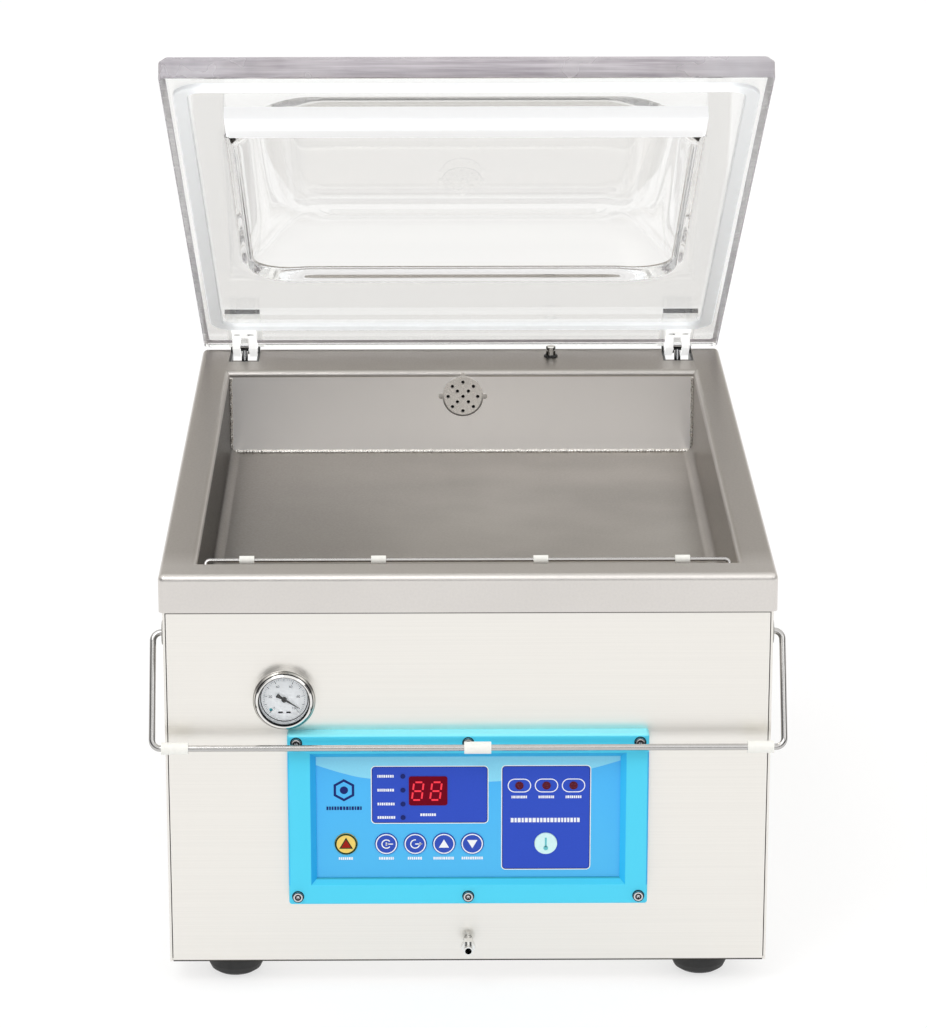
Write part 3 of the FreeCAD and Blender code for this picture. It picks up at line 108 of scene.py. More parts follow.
def places(material):
    """The piece's own X, Y and Z, in metres."""
    coords = add(material, "ShaderNodeTexCoord")
    split = add(material, "ShaderNodeSeparateXYZ")
    join(material, coords.outputs["Object"], split.inputs[0])
    return split.outputs


def noise(material, scale, detail=3.0, rough=0.55):
    """Noise over the piece's own coordinates, in metres, stretched by the three scales."""
    coords = add(material, "ShaderNodeTexCoord")
    mapping = add(material, "ShaderNodeMapping", Scale=scale)
    texture = add(material, "ShaderNodeTexNoise", Scale=1.0, Detail=detail, Roughness=rough)
    join(material, coords.outputs["Object"], mapping.inputs["Vector"])
    join(material, mapping.outputs[0], texture.inputs["Vector"])
    return texture.outputs["Fac"]


def ranged(material, value, low, high, start=0.3, end=0.7):
    """Low to high as a value goes from start to end, and level beyond them."""
    node = add(material, "ShaderNodeMapRange")
    node.inputs["From Min"].default_value = start
    node.inputs["From Max"].default_value = end
    node.inputs["To Min"].default_value = low
    node.inputs["To Max"].default_value = high
    join(material, value, node.inputs["Value"])
    return node.outputs["Result"]


def mixed(material, share, first, second):
    """A colour between two; either may be a colour or another node's output."""
    node = add(material, "ShaderNodeMix")
    node.data_type = "RGBA"
    join(material, share, node.inputs["Factor"])
    for value, socket in ((first, node.inputs[6]), (second, node.inputs[7])):
        if isinstance(value, bpy.types.NodeSocket):
            join(material, value, socket)
        else:
            socket.default_value = (*value, 1.0)
    return node.outputs[2]


def surface(name, color, rough=0.4, metallic=0.0, grain=(300, 300, 300), tone=0.06, spread=0.06,
            bump=0.0, mottle=0.0, **sockets):
    """A shader whose colour, gloss and relief all vary a little, as a real finish does."""
    material, shader = blank(name)
    fine = noise(material, grain)
    dark = [c * (1 - tone) for c in color]
    light = [min(1.0, c * (1 + tone)) for c in color]
    shade = mixed(material, ranged(material, fine, 0, 1), dark, light)
    if mottle:
        cloud = noise(material, (14.0, 14.0, 14.0), detail=2.0)
        shade = mixed(material, ranged(material, cloud, 0, mottle), shade, [c * 0.6 for c in color])
    join(material, shade, shader.inputs["Base Color"])
    join(material, ranged(material, fine, rough - spread, rough + spread), shader.inputs["Roughness"])
    shader.inputs["Metallic"].default_value = metallic
    for key, value in sockets.items():
        shader.inputs[key.replace("_", " ")].default_value = value
    if bump:
        node = add(material, "ShaderNodeBump", Strength=0.5, Distance=bump)
        join(material, fine, node.inputs["Height"])
        join(material, node.outputs[0], shader.inputs["Normal"])
    return material


def clear(name, color, rough=0.0, ior=1.49):
    """Clear plastic or glass with a trace of uneven polish."""
    material, shader = blank(name)
    shader.inputs["Base Color"].default_value = (*color, 1.0)
    shader.inputs["Transmission Weight"].default_value = 1.0
    shader.inputs["IOR"].default_value = ior
    fine = noise(material, (35, 35, 35), detail=1.0)
    join(material, ranged(material, fine, rough, rough + 0.012), shader.inputs["Roughness"])
    return material


def brushed(name, color, along):
    """Brushed sheet whose lines run along x, y or z."""
    grain = tuple(8.0 if axis == along else 1700.0 for axis in "xyz")
    return surface(name, color, 0.34, 1.0, grain, 0.02, 0.03, 0.000006)


def satin(name):
    """The chamber's dull, slightly mottled sheet."""
    return surface(name, STEEL, 0.36, 1.0, (700, 700, 700), 0.03, 0.06, 0.00002, 0.12)


def glowing(name, color, strength):
    material, shader = blank(name)
    fine = noise(material, (900, 900, 900))
    join(material, ranged(material, fine, strength * 0.9, strength), shader.inputs["Emission Strength"])
    shader.inputs["Base Color"].default_value = (*color, 1.0)
    shader.inputs["Emission Color"].default_value = (*color, 1.0)
    return material


def acrylic_edge():
    """Sawn and flamed edge of the thick sheet, along its front and sides: streaky, with a greyish painted
    reflection standing in for light caught inside the sheet, and only half clear.
    """
    material, shader = blank("lid_edge")
    streaks = noise(material, (18, 18, 700), detail=4.0)
    clouds = noise(material, (22, 22, 22), detail=3.0)
    tint = mixed(material, ranged(material, streaks, 0, 1, 0.35, 0.65), (0.33, 0.295, 0.335),
                 (0.53, 0.49, 0.535))
    tint = mixed(material, ranged(material, clouds, 0, 0.6, 0.4, 0.7), tint, (0.66, 0.63, 0.66))
    join(material, tint, shader.inputs["Base Color"])
    join(material, ranged(material, clouds, 0.12, 0.35), shader.inputs["Roughness"])
    shader.inputs["Transmission Weight"].default_value = 0.45
    shader.inputs["IOR"].default_value = 1.49
    return material


def along_axis(material, axis, low, high):
    """0 to 1 between two places along one of the piece's own axes, in metres."""
    return ranged(material, places(material)[axis], 0.0, 1.0, low, high)


def sideways(material):
    """Distance from the machine's middle plane, in metres."""
    size = add(material, "ShaderNodeMath")
    size.operation = "ABSOLUTE"
    join(material, places(material)["X"], size.inputs[0])
    return size.outputs[0]


def toned(material, mask, color):
    """Lay another colour over a material's own where the mask is 1."""
    base = shader_of(material).inputs["Base Color"]
    join(material, mixed(material, mask, base.links[0].from_socket, color), base)


def lit(material, strength):
    """Let another node set how strongly the material glows."""
    join(material, strength, shader_of(material).inputs["Emission Strength"])


def facing(material, axis, low, high):
    """0 to 1 as the surface turns to face along one axis of the room."""
    geometry = add(material, "ShaderNodeNewGeometry")
    split = add(material, "ShaderNodeSeparateXYZ")
    join(material, geometry.outputs["True Normal"], split.inputs[0])
    return ranged(material, split.outputs[axis], 0.0, 1.0, low, high)


def times(material, *masks):
    """The product of several masks."""
    result = masks[0]
    for mask in masks[1:]:
        node = add(material, "ShaderNodeMath")
        node.operation = "MULTIPLY"
        join(material, result, node.inputs[0])
        join(material, mask, node.inputs[1])
        result = node.outputs[0]
    return result


def distance_from(material, x, z):
    """Distance in the X-Z plane from a point given in millimetres; the result is in metres."""
    place = places(material)
    flat = add(material, "ShaderNodeCombineXYZ")
    gap = add(material, "ShaderNodeVectorMath")
    gap.operation = "DISTANCE"
    join(material, place["X"], flat.inputs["X"])
    join(material, place["Z"], flat.inputs["Z"])
    join(material, flat.outputs[0], gap.inputs[0])
    gap.inputs[1].default_value = (x * MM, 0, z * MM)
    return gap.outputs["Value"]


def membrane_film():
    """Printed film, a little lighter towards the bottom."""
    material = surface("membrane_blue", (0.085, 0.51, 0.97), 0.45, grain=(900, 900, 900), tone=0.01,
                       spread=0.02, Specular_IOR_Level=0.15)
    toned(material, along_axis(material, "Z", 0.12, 0.075), (0.092, 0.525, 0.93))
    return material


def moulded_frame():
    """Glossy blue moulding with painted light: painted shade and painted highlights on its inner slopes as
    each would catch the light, a painted highlight along its top face, and a painted shade line along the
    bottom slope's inner edge.
    """
    material = surface("frame_blue", (0.085, 0.69, 0.95), 0.35, grain=(1200, 1200, 1200), tone=0.006,
                       spread=0.015, Specular_IOR_Level=0.25)
    low, high, front, step = 0.0620, 0.1390, -0.2339, 0.0002
    inside = times(material, along_axis(material, "Z", low, low + step),
                   along_axis(material, "Z", high, high - step),
                   along_axis(material, "Y", front, front + step))
    # painted shade on the left inner slope, a painted highlight on the right one and painted shade on the
    # upper one
    toned(material, times(material, facing(material, "X", 0.3, 0.5), inside), (0.018, 0.42, 0.84))
    toned(material, times(material, facing(material, "X", -0.3, -0.5), inside), (0.03, 0.56, 0.98))
    toned(material, times(material, facing(material, "Z", -0.3, -0.5), inside), (0.03, 0.42, 0.75))
    # painted highlight along the top face
    top = times(material, facing(material, "Z", 0.3, 0.6), along_axis(material, "Z", 0.1465, 0.1468))
    toned(material, top, (0.26, 0.86, 0.97))
    # a painted tone on the bottom inner slope for the light it catches, and a painted shade line along its
    # inner edge
    lower = times(material, facing(material, "Z", 0.5, 0.6), inside)
    toned(material, lower, (0.05, 0.62, 0.88))
    toned(material, times(material, lower, along_axis(material, "Z", 0.0646, 0.0650)), (0.02, 0.36, 0.50))
    return material


def polished_bezel():
    """Chrome ring with painted dark reflections: two bands round its face, a band on its outer side and its
    lower inner wall.
    """
    material = surface("bezel_chrome", (0.78, 0.77, 0.75), 0.1, 1.0, (400, 400, 400), 0.03, 0.02)
    away = distance_from(material, *GAUGE)
    # painted dark reflections in two bands round the face
    for near, far in ((0.01315, 0.0138), (0.0151, 0.0156)):
        band = times(material, ranged(material, away, 0, 1, near, near + 0.0002),
                     ranged(material, away, 1, 0, far, far + 0.0003))
        toned(material, band, (0.02, 0.02, 0.022))
    # painted dark reflection on the outer side
    rim = times(material, ranged(material, away, 0, 0.7, 0.0162, 0.0164),
                ranged(material, away, 1, 0, 0.0166, 0.01675))
    toned(material, rim, (0.05, 0.048, 0.045))
    # painted dark reflection on the lower inner wall
    lower_wall = times(material, facing(material, "Z", 0.2, 0.5),
                       ranged(material, away, 1, 0, 0.0134, 0.0136))
    toned(material, lower_wall, (0.015, 0.015, 0.017))
    return material


def front_sheet():
    """The front panel's sheet: brushed, with painted shade lines along its sides, top and bottom, where the
    gaps to the side panels, the rim and the base fall dark.
    """
    material = brushed("front_sheet", CASING, "x")
    # painted shade: dark lines at the gaps to the side panels, under the rim's skirt and above the base
    toned(material, ranged(material, sideways(material), 0.0, 1.0, 0.1616, 0.1622), SHADE)
    toned(material, along_axis(material, "Z", 0.2146, 0.2151), SHADE)
    toned(material, along_axis(material, "Z", 0.0150, 0.0145), SHADE)
    return material


def tub_steel():
    """The chamber's satin sheet with painted light: painted shade on its floor, with darker blotches over it
    and a painted dark reflection towards the left; a painted dark reflection on the left wall, painted shade
    on the right wall, and a painted highlight and faint painted glow on the rear wall.
    """
    material = satin("tub_steel")
    level = facing(material, "Z", 0.6, 0.9)
    dark_blotches = ranged(material, noise(material, (9, 14, 9), detail=2.0), 0.15, 0.75, 0.35, 0.65)
    # painted shade on the chamber's floor, with darker blotches over it
    toned(material, level, (0.485, 0.455, 0.42))
    toned(material, times(material, level, dark_blotches), (0.34, 0.315, 0.29))
    # painted dark reflection darkening the floor towards the left
    toned(material, times(material, level, along_axis(material, "X", 0.0, -0.14)), (0.25, 0.23, 0.21))
    # painted highlight on the rear wall
    rear = facing(material, "Y", -0.6, -0.9)
    toned(material, rear, (0.92, 0.89, 0.86))
    # painted dark reflection on the left wall and painted shade on the right wall
    toned(material, facing(material, "X", 0.5, 0.95), (0.05, 0.042, 0.035))
    toned(material, facing(material, "X", -0.5, -0.95), (0.44, 0.41, 0.38))
    # faint painted glow on the rear wall
    lit(material, ranged(material, rear, 0.0, 0.16, 0.0, 1.0))
    return material


def rim_steel():
    """The rim's satin sheet with painted shade: its level faces are darker than its front face, and the
    strips beside and behind the chamber are darker still than the strip in front of it.
    """
    material = satin("rim_steel")
    level = facing(material, "Z", 0.7, 0.95)
    # painted shade on the level faces, deeper on the strips beside and behind the chamber
    toned(material, level, (0.55, 0.52, 0.49))
    toned(material, times(material, level, along_axis(material, "Y", -0.210, -0.186)), (0.42, 0.39, 0.36))
    return material


def vent_steel():
    """Perforated disc: a bright pressing with a faint painted glow, and painted shade on its turned edge
    below.
    """
    # faint painted glow over the whole disc
    material = surface("vent_steel", (0.93, 0.91, 0.88), 0.3, 1.0, (600, 600, 600), 0.04,
                       Emission_Color=(1.0, 0.98, 0.95, 1.0), Emission_Strength=0.06)
    away = distance_from(material, *VENT)
    # painted shade on the lower half of the turned edge
    edge = times(material, ranged(material, away, 0, 1, 0.0116, 0.0120),
                 along_axis(material, "Z", 0.224, 0.216))
    toned(material, edge, (0.07, 0.06, 0.05))
    return material


def gasket_silicone():
    """Translucent silicone with a painted glow, stronger along the front and rear runs than down the sides.
    """
    material = surface("gasket_silicone", (0.94, 0.955, 0.965), 0.35, grain=(60, 60, 60), tone=0.005,
                       spread=0.01, Transmission_Weight=0.4, IOR=1.2, Emission_Color=(0.96, 0.98, 1.0, 1.0))
    # painted glow, stronger on the front and rear runs than on the sides
    lit(material, ranged(material, sideways(material), 0.34, 0.11, 0.140, 0.150))
    return material


def strap_steel():
    """White-looking strap with a painted glow, and painted shade on its cut front end."""
    material = surface("strap_steel", (0.93, 0.93, 0.92), 0.35, 0.1, (500, 500, 20), 0.03, 0.03,
                       Emission_Color=(1.0, 1.0, 0.99, 1.0))
    # painted shade on the cut front end; painted glow on the rest of the strap
    front_end = facing(material, "Y", -0.7, -0.8)
    toned(material, front_end, (0.03, 0.03, 0.03))
    lit(material, ranged(material, front_end, 0.3, 0.0, 0.0, 1.0))
    return material


def turned_pin():
    """Polished plunger with painted dark reflections down both sides."""
    material = surface("plunger_steel", (0.97, 0.95, 0.92), 0.12, 1.0, (500, 500, 500), 0.06, 0.03)
    # painted dark reflections down both sides
    for way in (1, -1):
        toned(material, facing(material, "X", 0.35 * way, 0.6 * way), SHADE)
    return material


LOOKS = {
    "casing_steel": brushed("casing_steel", CASING, "x"),
    "casing_side": brushed("casing_side", CASING, "y"),
    "weld_metal": surface("weld_metal", (0.80, 0.78, 0.74), 0.3, 1.0, (900, 900, 900), 0.15, 0.1, 0.0002),
    "foot_rubber": surface("foot_rubber", (0.018, 0.018, 0.018), 0.6, bump=0.0001),
    "hose_rubber": surface("hose_rubber", (0.02, 0.02, 0.02), 0.5, bump=0.0001),
    "bar_aluminium": surface("bar_aluminium", (0.7, 0.7, 0.7), 0.35, 1.0, (6, 700, 700), bump=0.00002),
    "cylinder_aluminium": surface("cylinder_aluminium", (0.66, 0.66, 0.66), 0.3, 1.0, (700, 700, 60)),
    "seal_tape": surface("seal_tape", (0.62, 0.45, 0.24), 0.5, grain=(1500, 1500, 1500), tone=0.2,
                         bump=0.0001),
    "wire_steel": surface("wire_steel", (0.50, 0.49, 0.48), 0.14, 1.0, (300, 300, 300), 0.03, 0.02),
    "sleeve_plastic": surface("sleeve_plastic", (0.93, 0.92, 0.87), 0.45, grain=(500, 500, 500), tone=0.03),
    "bush_plastic": surface("bush_plastic", (0.35, 0.34, 0.32), 0.4, bump=0.00005),
    "display_red": surface("display_red", (0.17, 0.001, 0.012), 0.35, grain=(900, 900, 900), tone=0.05,
                           Specular_IOR_Level=0.05),
    "lamp_red": surface("lamp_red", (0.10, 0.003, 0.016), 0.25, grain=(900, 900, 900), tone=0.1,
                        Specular_IOR_Level=0.2),
    "screw_steel": surface("screw_steel", (0.62, 0.62, 0.64), 0.22, 1.0, (600, 600, 600), 0.1),
    "board_green": surface("board_green", (0.02, 0.16, 0.05), 0.3, bump=0.0001),
    "gauge_black": surface("gauge_black", (0.02, 0.02, 0.02), 0.4, bump=0.00005),
    # painted glow, brightening the dial in its shaded recess
    "dial_white": surface("dial_white", (0.90, 0.92, 0.93), 0.4, grain=(500, 500, 500), tone=0.02,
                          Emission_Color=(0.9, 0.95, 1.0, 1.0), Emission_Strength=0.25),
    "needle_black": surface("needle_black", (0.012, 0.012, 0.012), 0.35, bump=0.00002),
    "nipple_chrome": surface("nipple_chrome", (0.8, 0.8, 0.78), 0.09, 1.0, (400, 400, 400), 0.04, 0.03),
    "hinge_black": surface("hinge_black", (0.015, 0.015, 0.015), 0.35, bump=0.00005),
    "pin_steel": surface("pin_steel", (0.6, 0.6, 0.6), 0.25, 1.0, (500, 500, 500), 0.08),
    "strut_black": surface("strut_black", (0.015, 0.015, 0.015), 0.25, bump=0.00002),
    "rod_chrome": surface("rod_chrome", (0.7, 0.7, 0.7), 0.12, 1.0, (500, 500, 500), 0.06, 0.04),
    "pump_iron": surface("pump_iron", (0.06, 0.07, 0.085), 0.5, 0.4, bump=0.0006, grain=(250, 250, 250)),
    "motor_paint": surface("motor_paint", (0.05, 0.055, 0.07), 0.4, bump=0.0002),
    "valve_brass": surface("valve_brass", (0.6, 0.42, 0.14), 0.3, 1.0, (500, 500, 500), 0.1),
    "switch_black": surface("switch_black", (0.02, 0.02, 0.02), 0.45, bump=0.0001),
    "inlet_black": surface("inlet_black", (0.015, 0.015, 0.015), 0.4, bump=0.0001),
    "rocker_red": surface("rocker_red", (0.5, 0.012, 0.01), 0.25, grain=(400, 400, 400), tone=0.05),
    "key_yellow": surface("key_yellow", (0.91, 0.66, 0.14), 0.4, grain=(700, 700, 700), tone=0.04),
    "key_blue": surface("key_blue", (0.035, 0.085, 0.50), 0.45, grain=(700, 700, 700), tone=0.03,
                        Specular_IOR_Level=0.15),
    "key_aqua": surface("key_aqua", (0.66, 0.93, 0.93), 0.4, grain=(700, 700, 700), tone=0.03),
    # painted glow on the white bar
    "bar_white": surface("bar_white", (0.95, 0.955, 0.96), 0.35, grain=(60, 60, 60), tone=0.004, spread=0.01,
                         Emission_Color=(1.0, 1.0, 1.0, 1.0), Emission_Strength=0.26),
    # painted glow on the silicone strip
    "strip_silicone": surface("strip_silicone", (0.94, 0.95, 0.96), 0.4, grain=(200, 200, 200), tone=0.01,
                              Emission_Color=(1.0, 1.0, 1.0, 1.0), Emission_Strength=0.24),
    # painted glow on the hinge forks
    "clevis_steel": surface("clevis_steel", (0.95, 0.95, 0.94), 0.35, 0.1, (500, 500, 500), 0.03, 0.03,
                            Emission_Color=(1.0, 1.0, 0.99, 1.0), Emission_Strength=0.75),
    "bolt_steel": surface("bolt_steel", (0.75, 0.75, 0.74), 0.22, 1.0, (500, 500, 500), 0.1),
    "gauge_glass": clear("gauge_glass", (1.0, 1.0, 1.0), 0.0, 1.3),
    "lid_acrylic": clear("lid_acrylic", (0.925, 0.922, 0.91), 0.0, 1.42),
    # lit copy of the lid's edge for its rear run: clearer and whiter, a painted highlight
    "lid_edge_rear_lit": clear("lid_edge_rear_lit", (0.93, 0.92, 0.93), 0.05),
    "lid_edge": acrylic_edge(),
    "membrane_blue": membrane_film(),
    "frame_blue": moulded_frame(),
    "bezel_chrome": polished_bezel(),
    "front_sheet": front_sheet(),
    "tub_steel": tub_steel(),
    "rim_steel": rim_steel(),
    "vent_steel": vent_steel(),
    "gasket_silicone": gasket_silicone(),
    "strap_steel": strap_steel(),
    "plunger_steel": turned_pin(),
    "digit_red": glowing("digit_red", (0.8, 0.018, 0.04), 0.46),
}
PRINTS = {"print_white": WHITE, "print_royal": (0.034, 0.085, 0.56), "print_pale": (0.28, 0.74, 0.96),
          "print_navy": NAVY, "print_green": (0.008, 0.045, 0.02), "print_red": (0.36, 0.012, 0.006),
          "print_black": (0.012, 0.012, 0.014), "print_teal": (0.03, 0.42, 0.50),
          "print_mist": (0.16, 0.58, 0.64)}
for ink_name, ink_color in PRINTS.items():
    LOOKS[ink_name] = surface(ink_name, ink_color, 0.45, grain=(900, 900, 900), tone=0.02, spread=0.02,
                              Specular_IOR_Level=0.12)

NODE_LOOKS = {"front_panel": "front_sheet", "vent_disc": "vent_steel", "side_panel_left": "casing_side",
              "side_panel_right": "casing_side", "base_plate": "casing_side", "chamber_tub": "tub_steel",
              "rim_frame": "rim_steel"}


def dress_frame():
    """Give every CAD node the look of its material slot, or its own."""
    slots = {row["node"]: row["material_slot"] for row in frame["record"]["subparts"]}
    for name, obj in frame["nodes"].items():
        look = LOOKS[NODE_LOOKS.get(name, slots[name])]
        obj.data.materials.clear()
        obj.data.materials.append(look)


# ---------------------------------------------------------------- meshes

def piece(name, points, faces, looks, body, smooth=30.0, choose=None):
    """A mesh piece from points in millimetres that rides on one CAD body."""
    mesh = bpy.data.meshes.new(name)
    mesh.from_pydata([tuple(float(c) * MM for c in p) for p in points], [], faces)
    for look in looks:
        mesh.materials.append(LOOKS[look])
    if choose is not None:
        for face, index in zip(mesh.polygons, choose):
            face.material_index = index
    mesh.update()
    obj = bpy.data.objects.new(name, mesh)
    bpy.context.scene.collection.objects.link(obj)
    if smooth:
        mesh.shade_smooth()
        mesh.set_sharp_from_angle(angle=math.radians(smooth))
    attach(obj, body)
    return obj


def rounded_loop(half, front, rear, corner, steps=28, sides=24):
    """Points of a rounded rectangle about the middle of the rim, anticlockwise seen from above."""
    corners = [(half - corner, -front + corner, -90), (half - corner, rear - corner, 0),
               (-half + corner, rear - corner, 90), (-half + corner, -front + corner, 180)]
    points = []
    for i, (x, y, start) in enumerate(corners):
        arc = [(x + corner * math.cos(math.radians(start + 90 * k / steps)),
                y + corner * math.sin(math.radians(start + 90 * k / steps))) for k in range(steps + 1)]
        x2, y2, start2 = corners[(i + 1) % 4]
        ahead = (x2 + corner * math.cos(math.radians(start2)), y2 + corner * math.sin(math.radians(start2)))
        run = [tuple(np.array(arc[-1]) + (np.array(ahead) - arc[-1]) * k / sides) for k in range(1, sides)]
        points += arc + run
    return np.array(points) + (0, RIM_MIDDLE)


def skin(rings):
    """Faces between rings of equal length, with the first and last ring closed."""
    count = len(rings[0])
    faces = [list(range(count))[::-1]]
    for i in range(len(rings) - 1):
        for k in range(count):
            nxt = (k + 1) % count
            faces.append([i * count + k, i * count + nxt, (i + 1) * count + nxt, (i + 1) * count + k])
    faces.append([(len(rings) - 1) * count + k for k in range(count)])
    return faces


def smooth_profile(points, steps=10):
    """A Catmull-Rom line through profile points."""
    pts = np.array([points[0], *points, points[-1]], float)
    line = []
    for i in range(1, len(pts) - 2):
        a, b, c, d = pts[i - 1:i + 3]
        for k in range(steps):
            t = k / steps
            line.append(0.5 * (2 * b + (c - a) * t + (2 * a - 5 * b + 4 * c - d) * t * t
                               + (3 * b - a - 3 * c + d) * t ** 3))
    line.append(pts[-2])
    return line


def opened(points):
    """Turn points drawn with the lid closed to its open rest place."""
    points = np.array(points, float)
    y, z = points[:, 1] - HINGE[0], points[:, 2] - HINGE[1]
    cos, sin = math.cos(LID_OPEN), math.sin(LID_OPEN)
    return np.column_stack([points[:, 0], HINGE[0] + y * cos + z * sin, HINGE[1] - y * sin + z * cos])


def make_lid():
    """Thick clear sheet with a blown dome: inside surface, sheet edge and outside surface as one skin."""
    under, top, ceiling, crown = 240.0, 253.0, 267.6, 277.2
    inside = smooth_profile([(-44, ceiling), (-34, 266.6), (-26, 263.6), (-17, 257.0), (-9, 248.6),
                             (-3.6, 242.6), (-1.6, 240.7), (-0.8, 240.15), (0.4, 240.01)])
    outside = smooth_profile([(5.2, 253.02), (3.6, 253.3), (2.2, 254.2), (-2.6, 259.2), (-10.5, 267.6),
                              (-20, 274.0), (-30, 276.6), (-40, crown)])
    rings = []

    def dome_ring(grow, z):
        corner = max(6.0, 32 + grow * 0.35)
        loop = rounded_loop(130 + grow, 157 + grow, 103 + grow, corner)
        rings.append(np.column_stack([loop, np.full(len(loop), z)]))

    def sheet_ring(inset, z):
        loop = rounded_loop(164 - inset, 229 - inset, 229 - inset, 3.0)
        rings.append(np.column_stack([loop, np.full(len(loop), z)]))

    for grow in (-105, -80, -60, -48):
        dome_ring(grow, ceiling)
    for grow, z in inside:
        dome_ring(grow, z)
    dome_ring(6, under)
    sheet_ring(2.0, under)
    first_edge = len(rings)
    for inset, z in ((0.7, under), (0.2, 240.2), (0.0, 240.7), (0.0, 249.2), (0.3, 250.0), (2.7, 252.8),
                     (3.2, top)):
        sheet_ring(inset, z)
    last_edge = len(rings)
    sheet_ring(4.5, top)
    dome_ring(8, top)
    for grow, z in outside:
        dome_ring(grow, z)
    for grow in (-48, -60, -80, -105):
        dome_ring(grow, crown)
    faces = skin(rings)
    count = len(rings[0])
    band = range(1 + first_edge * count, 1 + (last_edge - 1) * count)
    points = np.vstack(rings)
    rear_edge = 228 + RIM_MIDDLE
    choose = [0] * len(faces)
    # the rear run of the edge takes the lit copy, clear and white as a painted highlight; the front and sides
    # keep the greyer edge
    for i in band:
        choose[i] = 2 if points[faces[i], 1].mean() > rear_edge else 1
    lid = piece("lid_sheet", opened(points), faces, ["lid_acrylic", "lid_edge", "lid_edge_rear_lit"], "lid",
                25.0, choose)
    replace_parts(lid, "lid")


def make_welds():
    """Hand-laid beads in the rear corners of the chamber, with uneven width and ripples."""
    low, high = (np.array(c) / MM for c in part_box("weld_beads"))
    half, rear, floor, top = high[0], high[1], low[2], high[2]
    runs = [((-half, rear, floor + 1), (-half, rear, top - 0.5), (1, -1, 0)),
            ((half, rear, floor + 1), (half, rear, top - 0.5), (-1, -1, 0)),
            ((-half + 1, rear, floor), (half - 1, rear, floor), (0, -1, 1))]
    for index, (start, end, inward) in enumerate(runs):
        start, end = np.array(start, float), np.array(end, float)
        inward = np.array(inward, float) / math.sqrt(2)
        length = np.linalg.norm(end - start)
        along = (end - start) / length
        across = np.cross(along, inward)
        rings = []
        for step in np.arange(0.0, length, 0.55):
            wobble = 0.35 * math.sin(step * 0.9 + index) * math.sin(step * 0.23 + 2 * index)
            ripple = 0.16 * math.cos(2 * math.pi * step / 1.9)
            radius = 1.35 + wobble * 0.5 + ripple
            centre = start + along * step + inward * (0.35 + 0.25 * wobble)
            rings.append([centre + radius * (math.cos(a) * inward + 0.9 * math.sin(a) * across)
                          for a in np.linspace(0, 2 * math.pi, 12, endpoint=False)])
        bead = piece(f"weld_bead_{index + 1}", np.vstack(rings), skin(rings), ["weld_metal"], "root",
                     60.0)
        if index == 0:
            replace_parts(bead, "weld_beads")


# ---------------------------------------------------------------- printing

class Ink:
    """Gathers thin flat shapes of one colour, drawn in x and z on an upright plane: print, and also painted
    shade and painted dark reflections.
    """

    def __init__(self, name, look, body="root", slot="membrane_blue", face=PANEL_FACE, lift=PRINT):
        self.name, self.look, self.body, self.slot = name, look, body, slot
        self.back, self.front = face + 0.02, face - lift
        self.points, self.faces = [], []

    def shape(self, outline):
        """A filled outline, anticlockwise in x and z as seen from the front."""
        base, count = len(self.points), len(outline)
        self.points += [(x, self.front, z) for x, z in outline] + [(x, self.back, z) for x, z in outline]
        self.faces.append([base + k for k in range(count)])
        self.faces.append([base + count + k for k in range(count)][::-1])
        for k in range(count):
            nxt = (k + 1) % count
            self.faces.append([base + nxt, base + k, base + count + k, base + count + nxt])

    def ring(self, outer, inner):
        """A closed band between two outlines with the same number of points."""
        base, count = len(self.points), len(outer)
        for y in (self.front, self.back):
            for line in (outer, inner):
                self.points += [(x, y, z) for x, z in line]
        for k in range(count):
            nxt = (k + 1) % count
            rows = [base + i * count for i in range(4)]
            self.faces += [[rows[0] + k, rows[0] + nxt, rows[1] + nxt, rows[1] + k],
                           [rows[3] + k, rows[3] + nxt, rows[2] + nxt, rows[2] + k],
                           [rows[2] + k, rows[2] + nxt, rows[0] + nxt, rows[0] + k],
                           [rows[1] + k, rows[1] + nxt, rows[3] + nxt, rows[3] + k]]

    def done(self):
        return piece(self.name, self.points, self.faces, [self.look], self.body, 0)


def disc(x, z, radius, count=48, start=0.0):
    """Outline of a circle, or of an upright polygon where count is small."""
    return [(x + radius * math.cos(math.radians(start + 360.0 * k / count)),
             z + radius * math.sin(math.radians(start + 360.0 * k / count))) for k in range(count)]


def panel_box(x1, z1, x2, z2, corner=2.0, grow=0.0, steps=8):
    """Outline of a rounded box, grown outwards by the given amount."""
    x1, z1, x2, z2, corner = x1 - grow, z1 - grow, x2 + grow, z2 + grow, corner + grow
    points = []
    for x, z, start in ((x2 - corner, z1 + corner, -90), (x2 - corner, z2 - corner, 0),
                        (x1 + corner, z2 - corner, 90), (x1 + corner, z1 + corner, 180)):
        points += [(x + corner * math.cos(math.radians(start + 90 * k / steps)),
                    z + corner * math.sin(math.radians(start + 90 * k / steps))) for k in range(steps + 1)]
    return points


def bar(x1, z1, x2, z2, width):
    """Outline of a straight stroke."""
    along = np.array([x2 - x1, z2 - z1], float)
    along /= np.linalg.norm(along)
    side = np.array([-along[1], along[0]]) * width / 2
    a, b = np.array([x1, z1]), np.array([x2, z2])
    return [tuple(a - side), tuple(b - side), tuple(b + side), tuple(a + side)]


def arc_band(x, z, inner, outer, start, end, count=24):
    """Outline of a bent stroke from one angle to another."""
    angles = [math.radians(start + (end - start) * k / count) for k in range(count + 1)]
    out = [(x + outer * math.cos(a), z + outer * math.sin(a)) for a in angles]
    back = [(x + inner * math.cos(a), z + inner * math.sin(a)) for a in reversed(angles)]
    return out + back


def caption(ink, x, z, width, height=1.5, seed=1):
    """A row of plain blocks where a caption stands; it spells nothing."""
    place, state = x - width / 2, seed
    while place < x + width / 2 - 0.5:
        state = (state * 37 + 11) % 101
        block = (0.62 + 0.5 * (state % 7) / 7) * height / 1.5
        block = min(block, x + width / 2 - place)
        ink.shape([(place, z - height / 2), (place + block, z - height / 2), (place + block, z + height / 2),
                   (place, z + height / 2)])
        place += block + 0.32 * height / 1.5


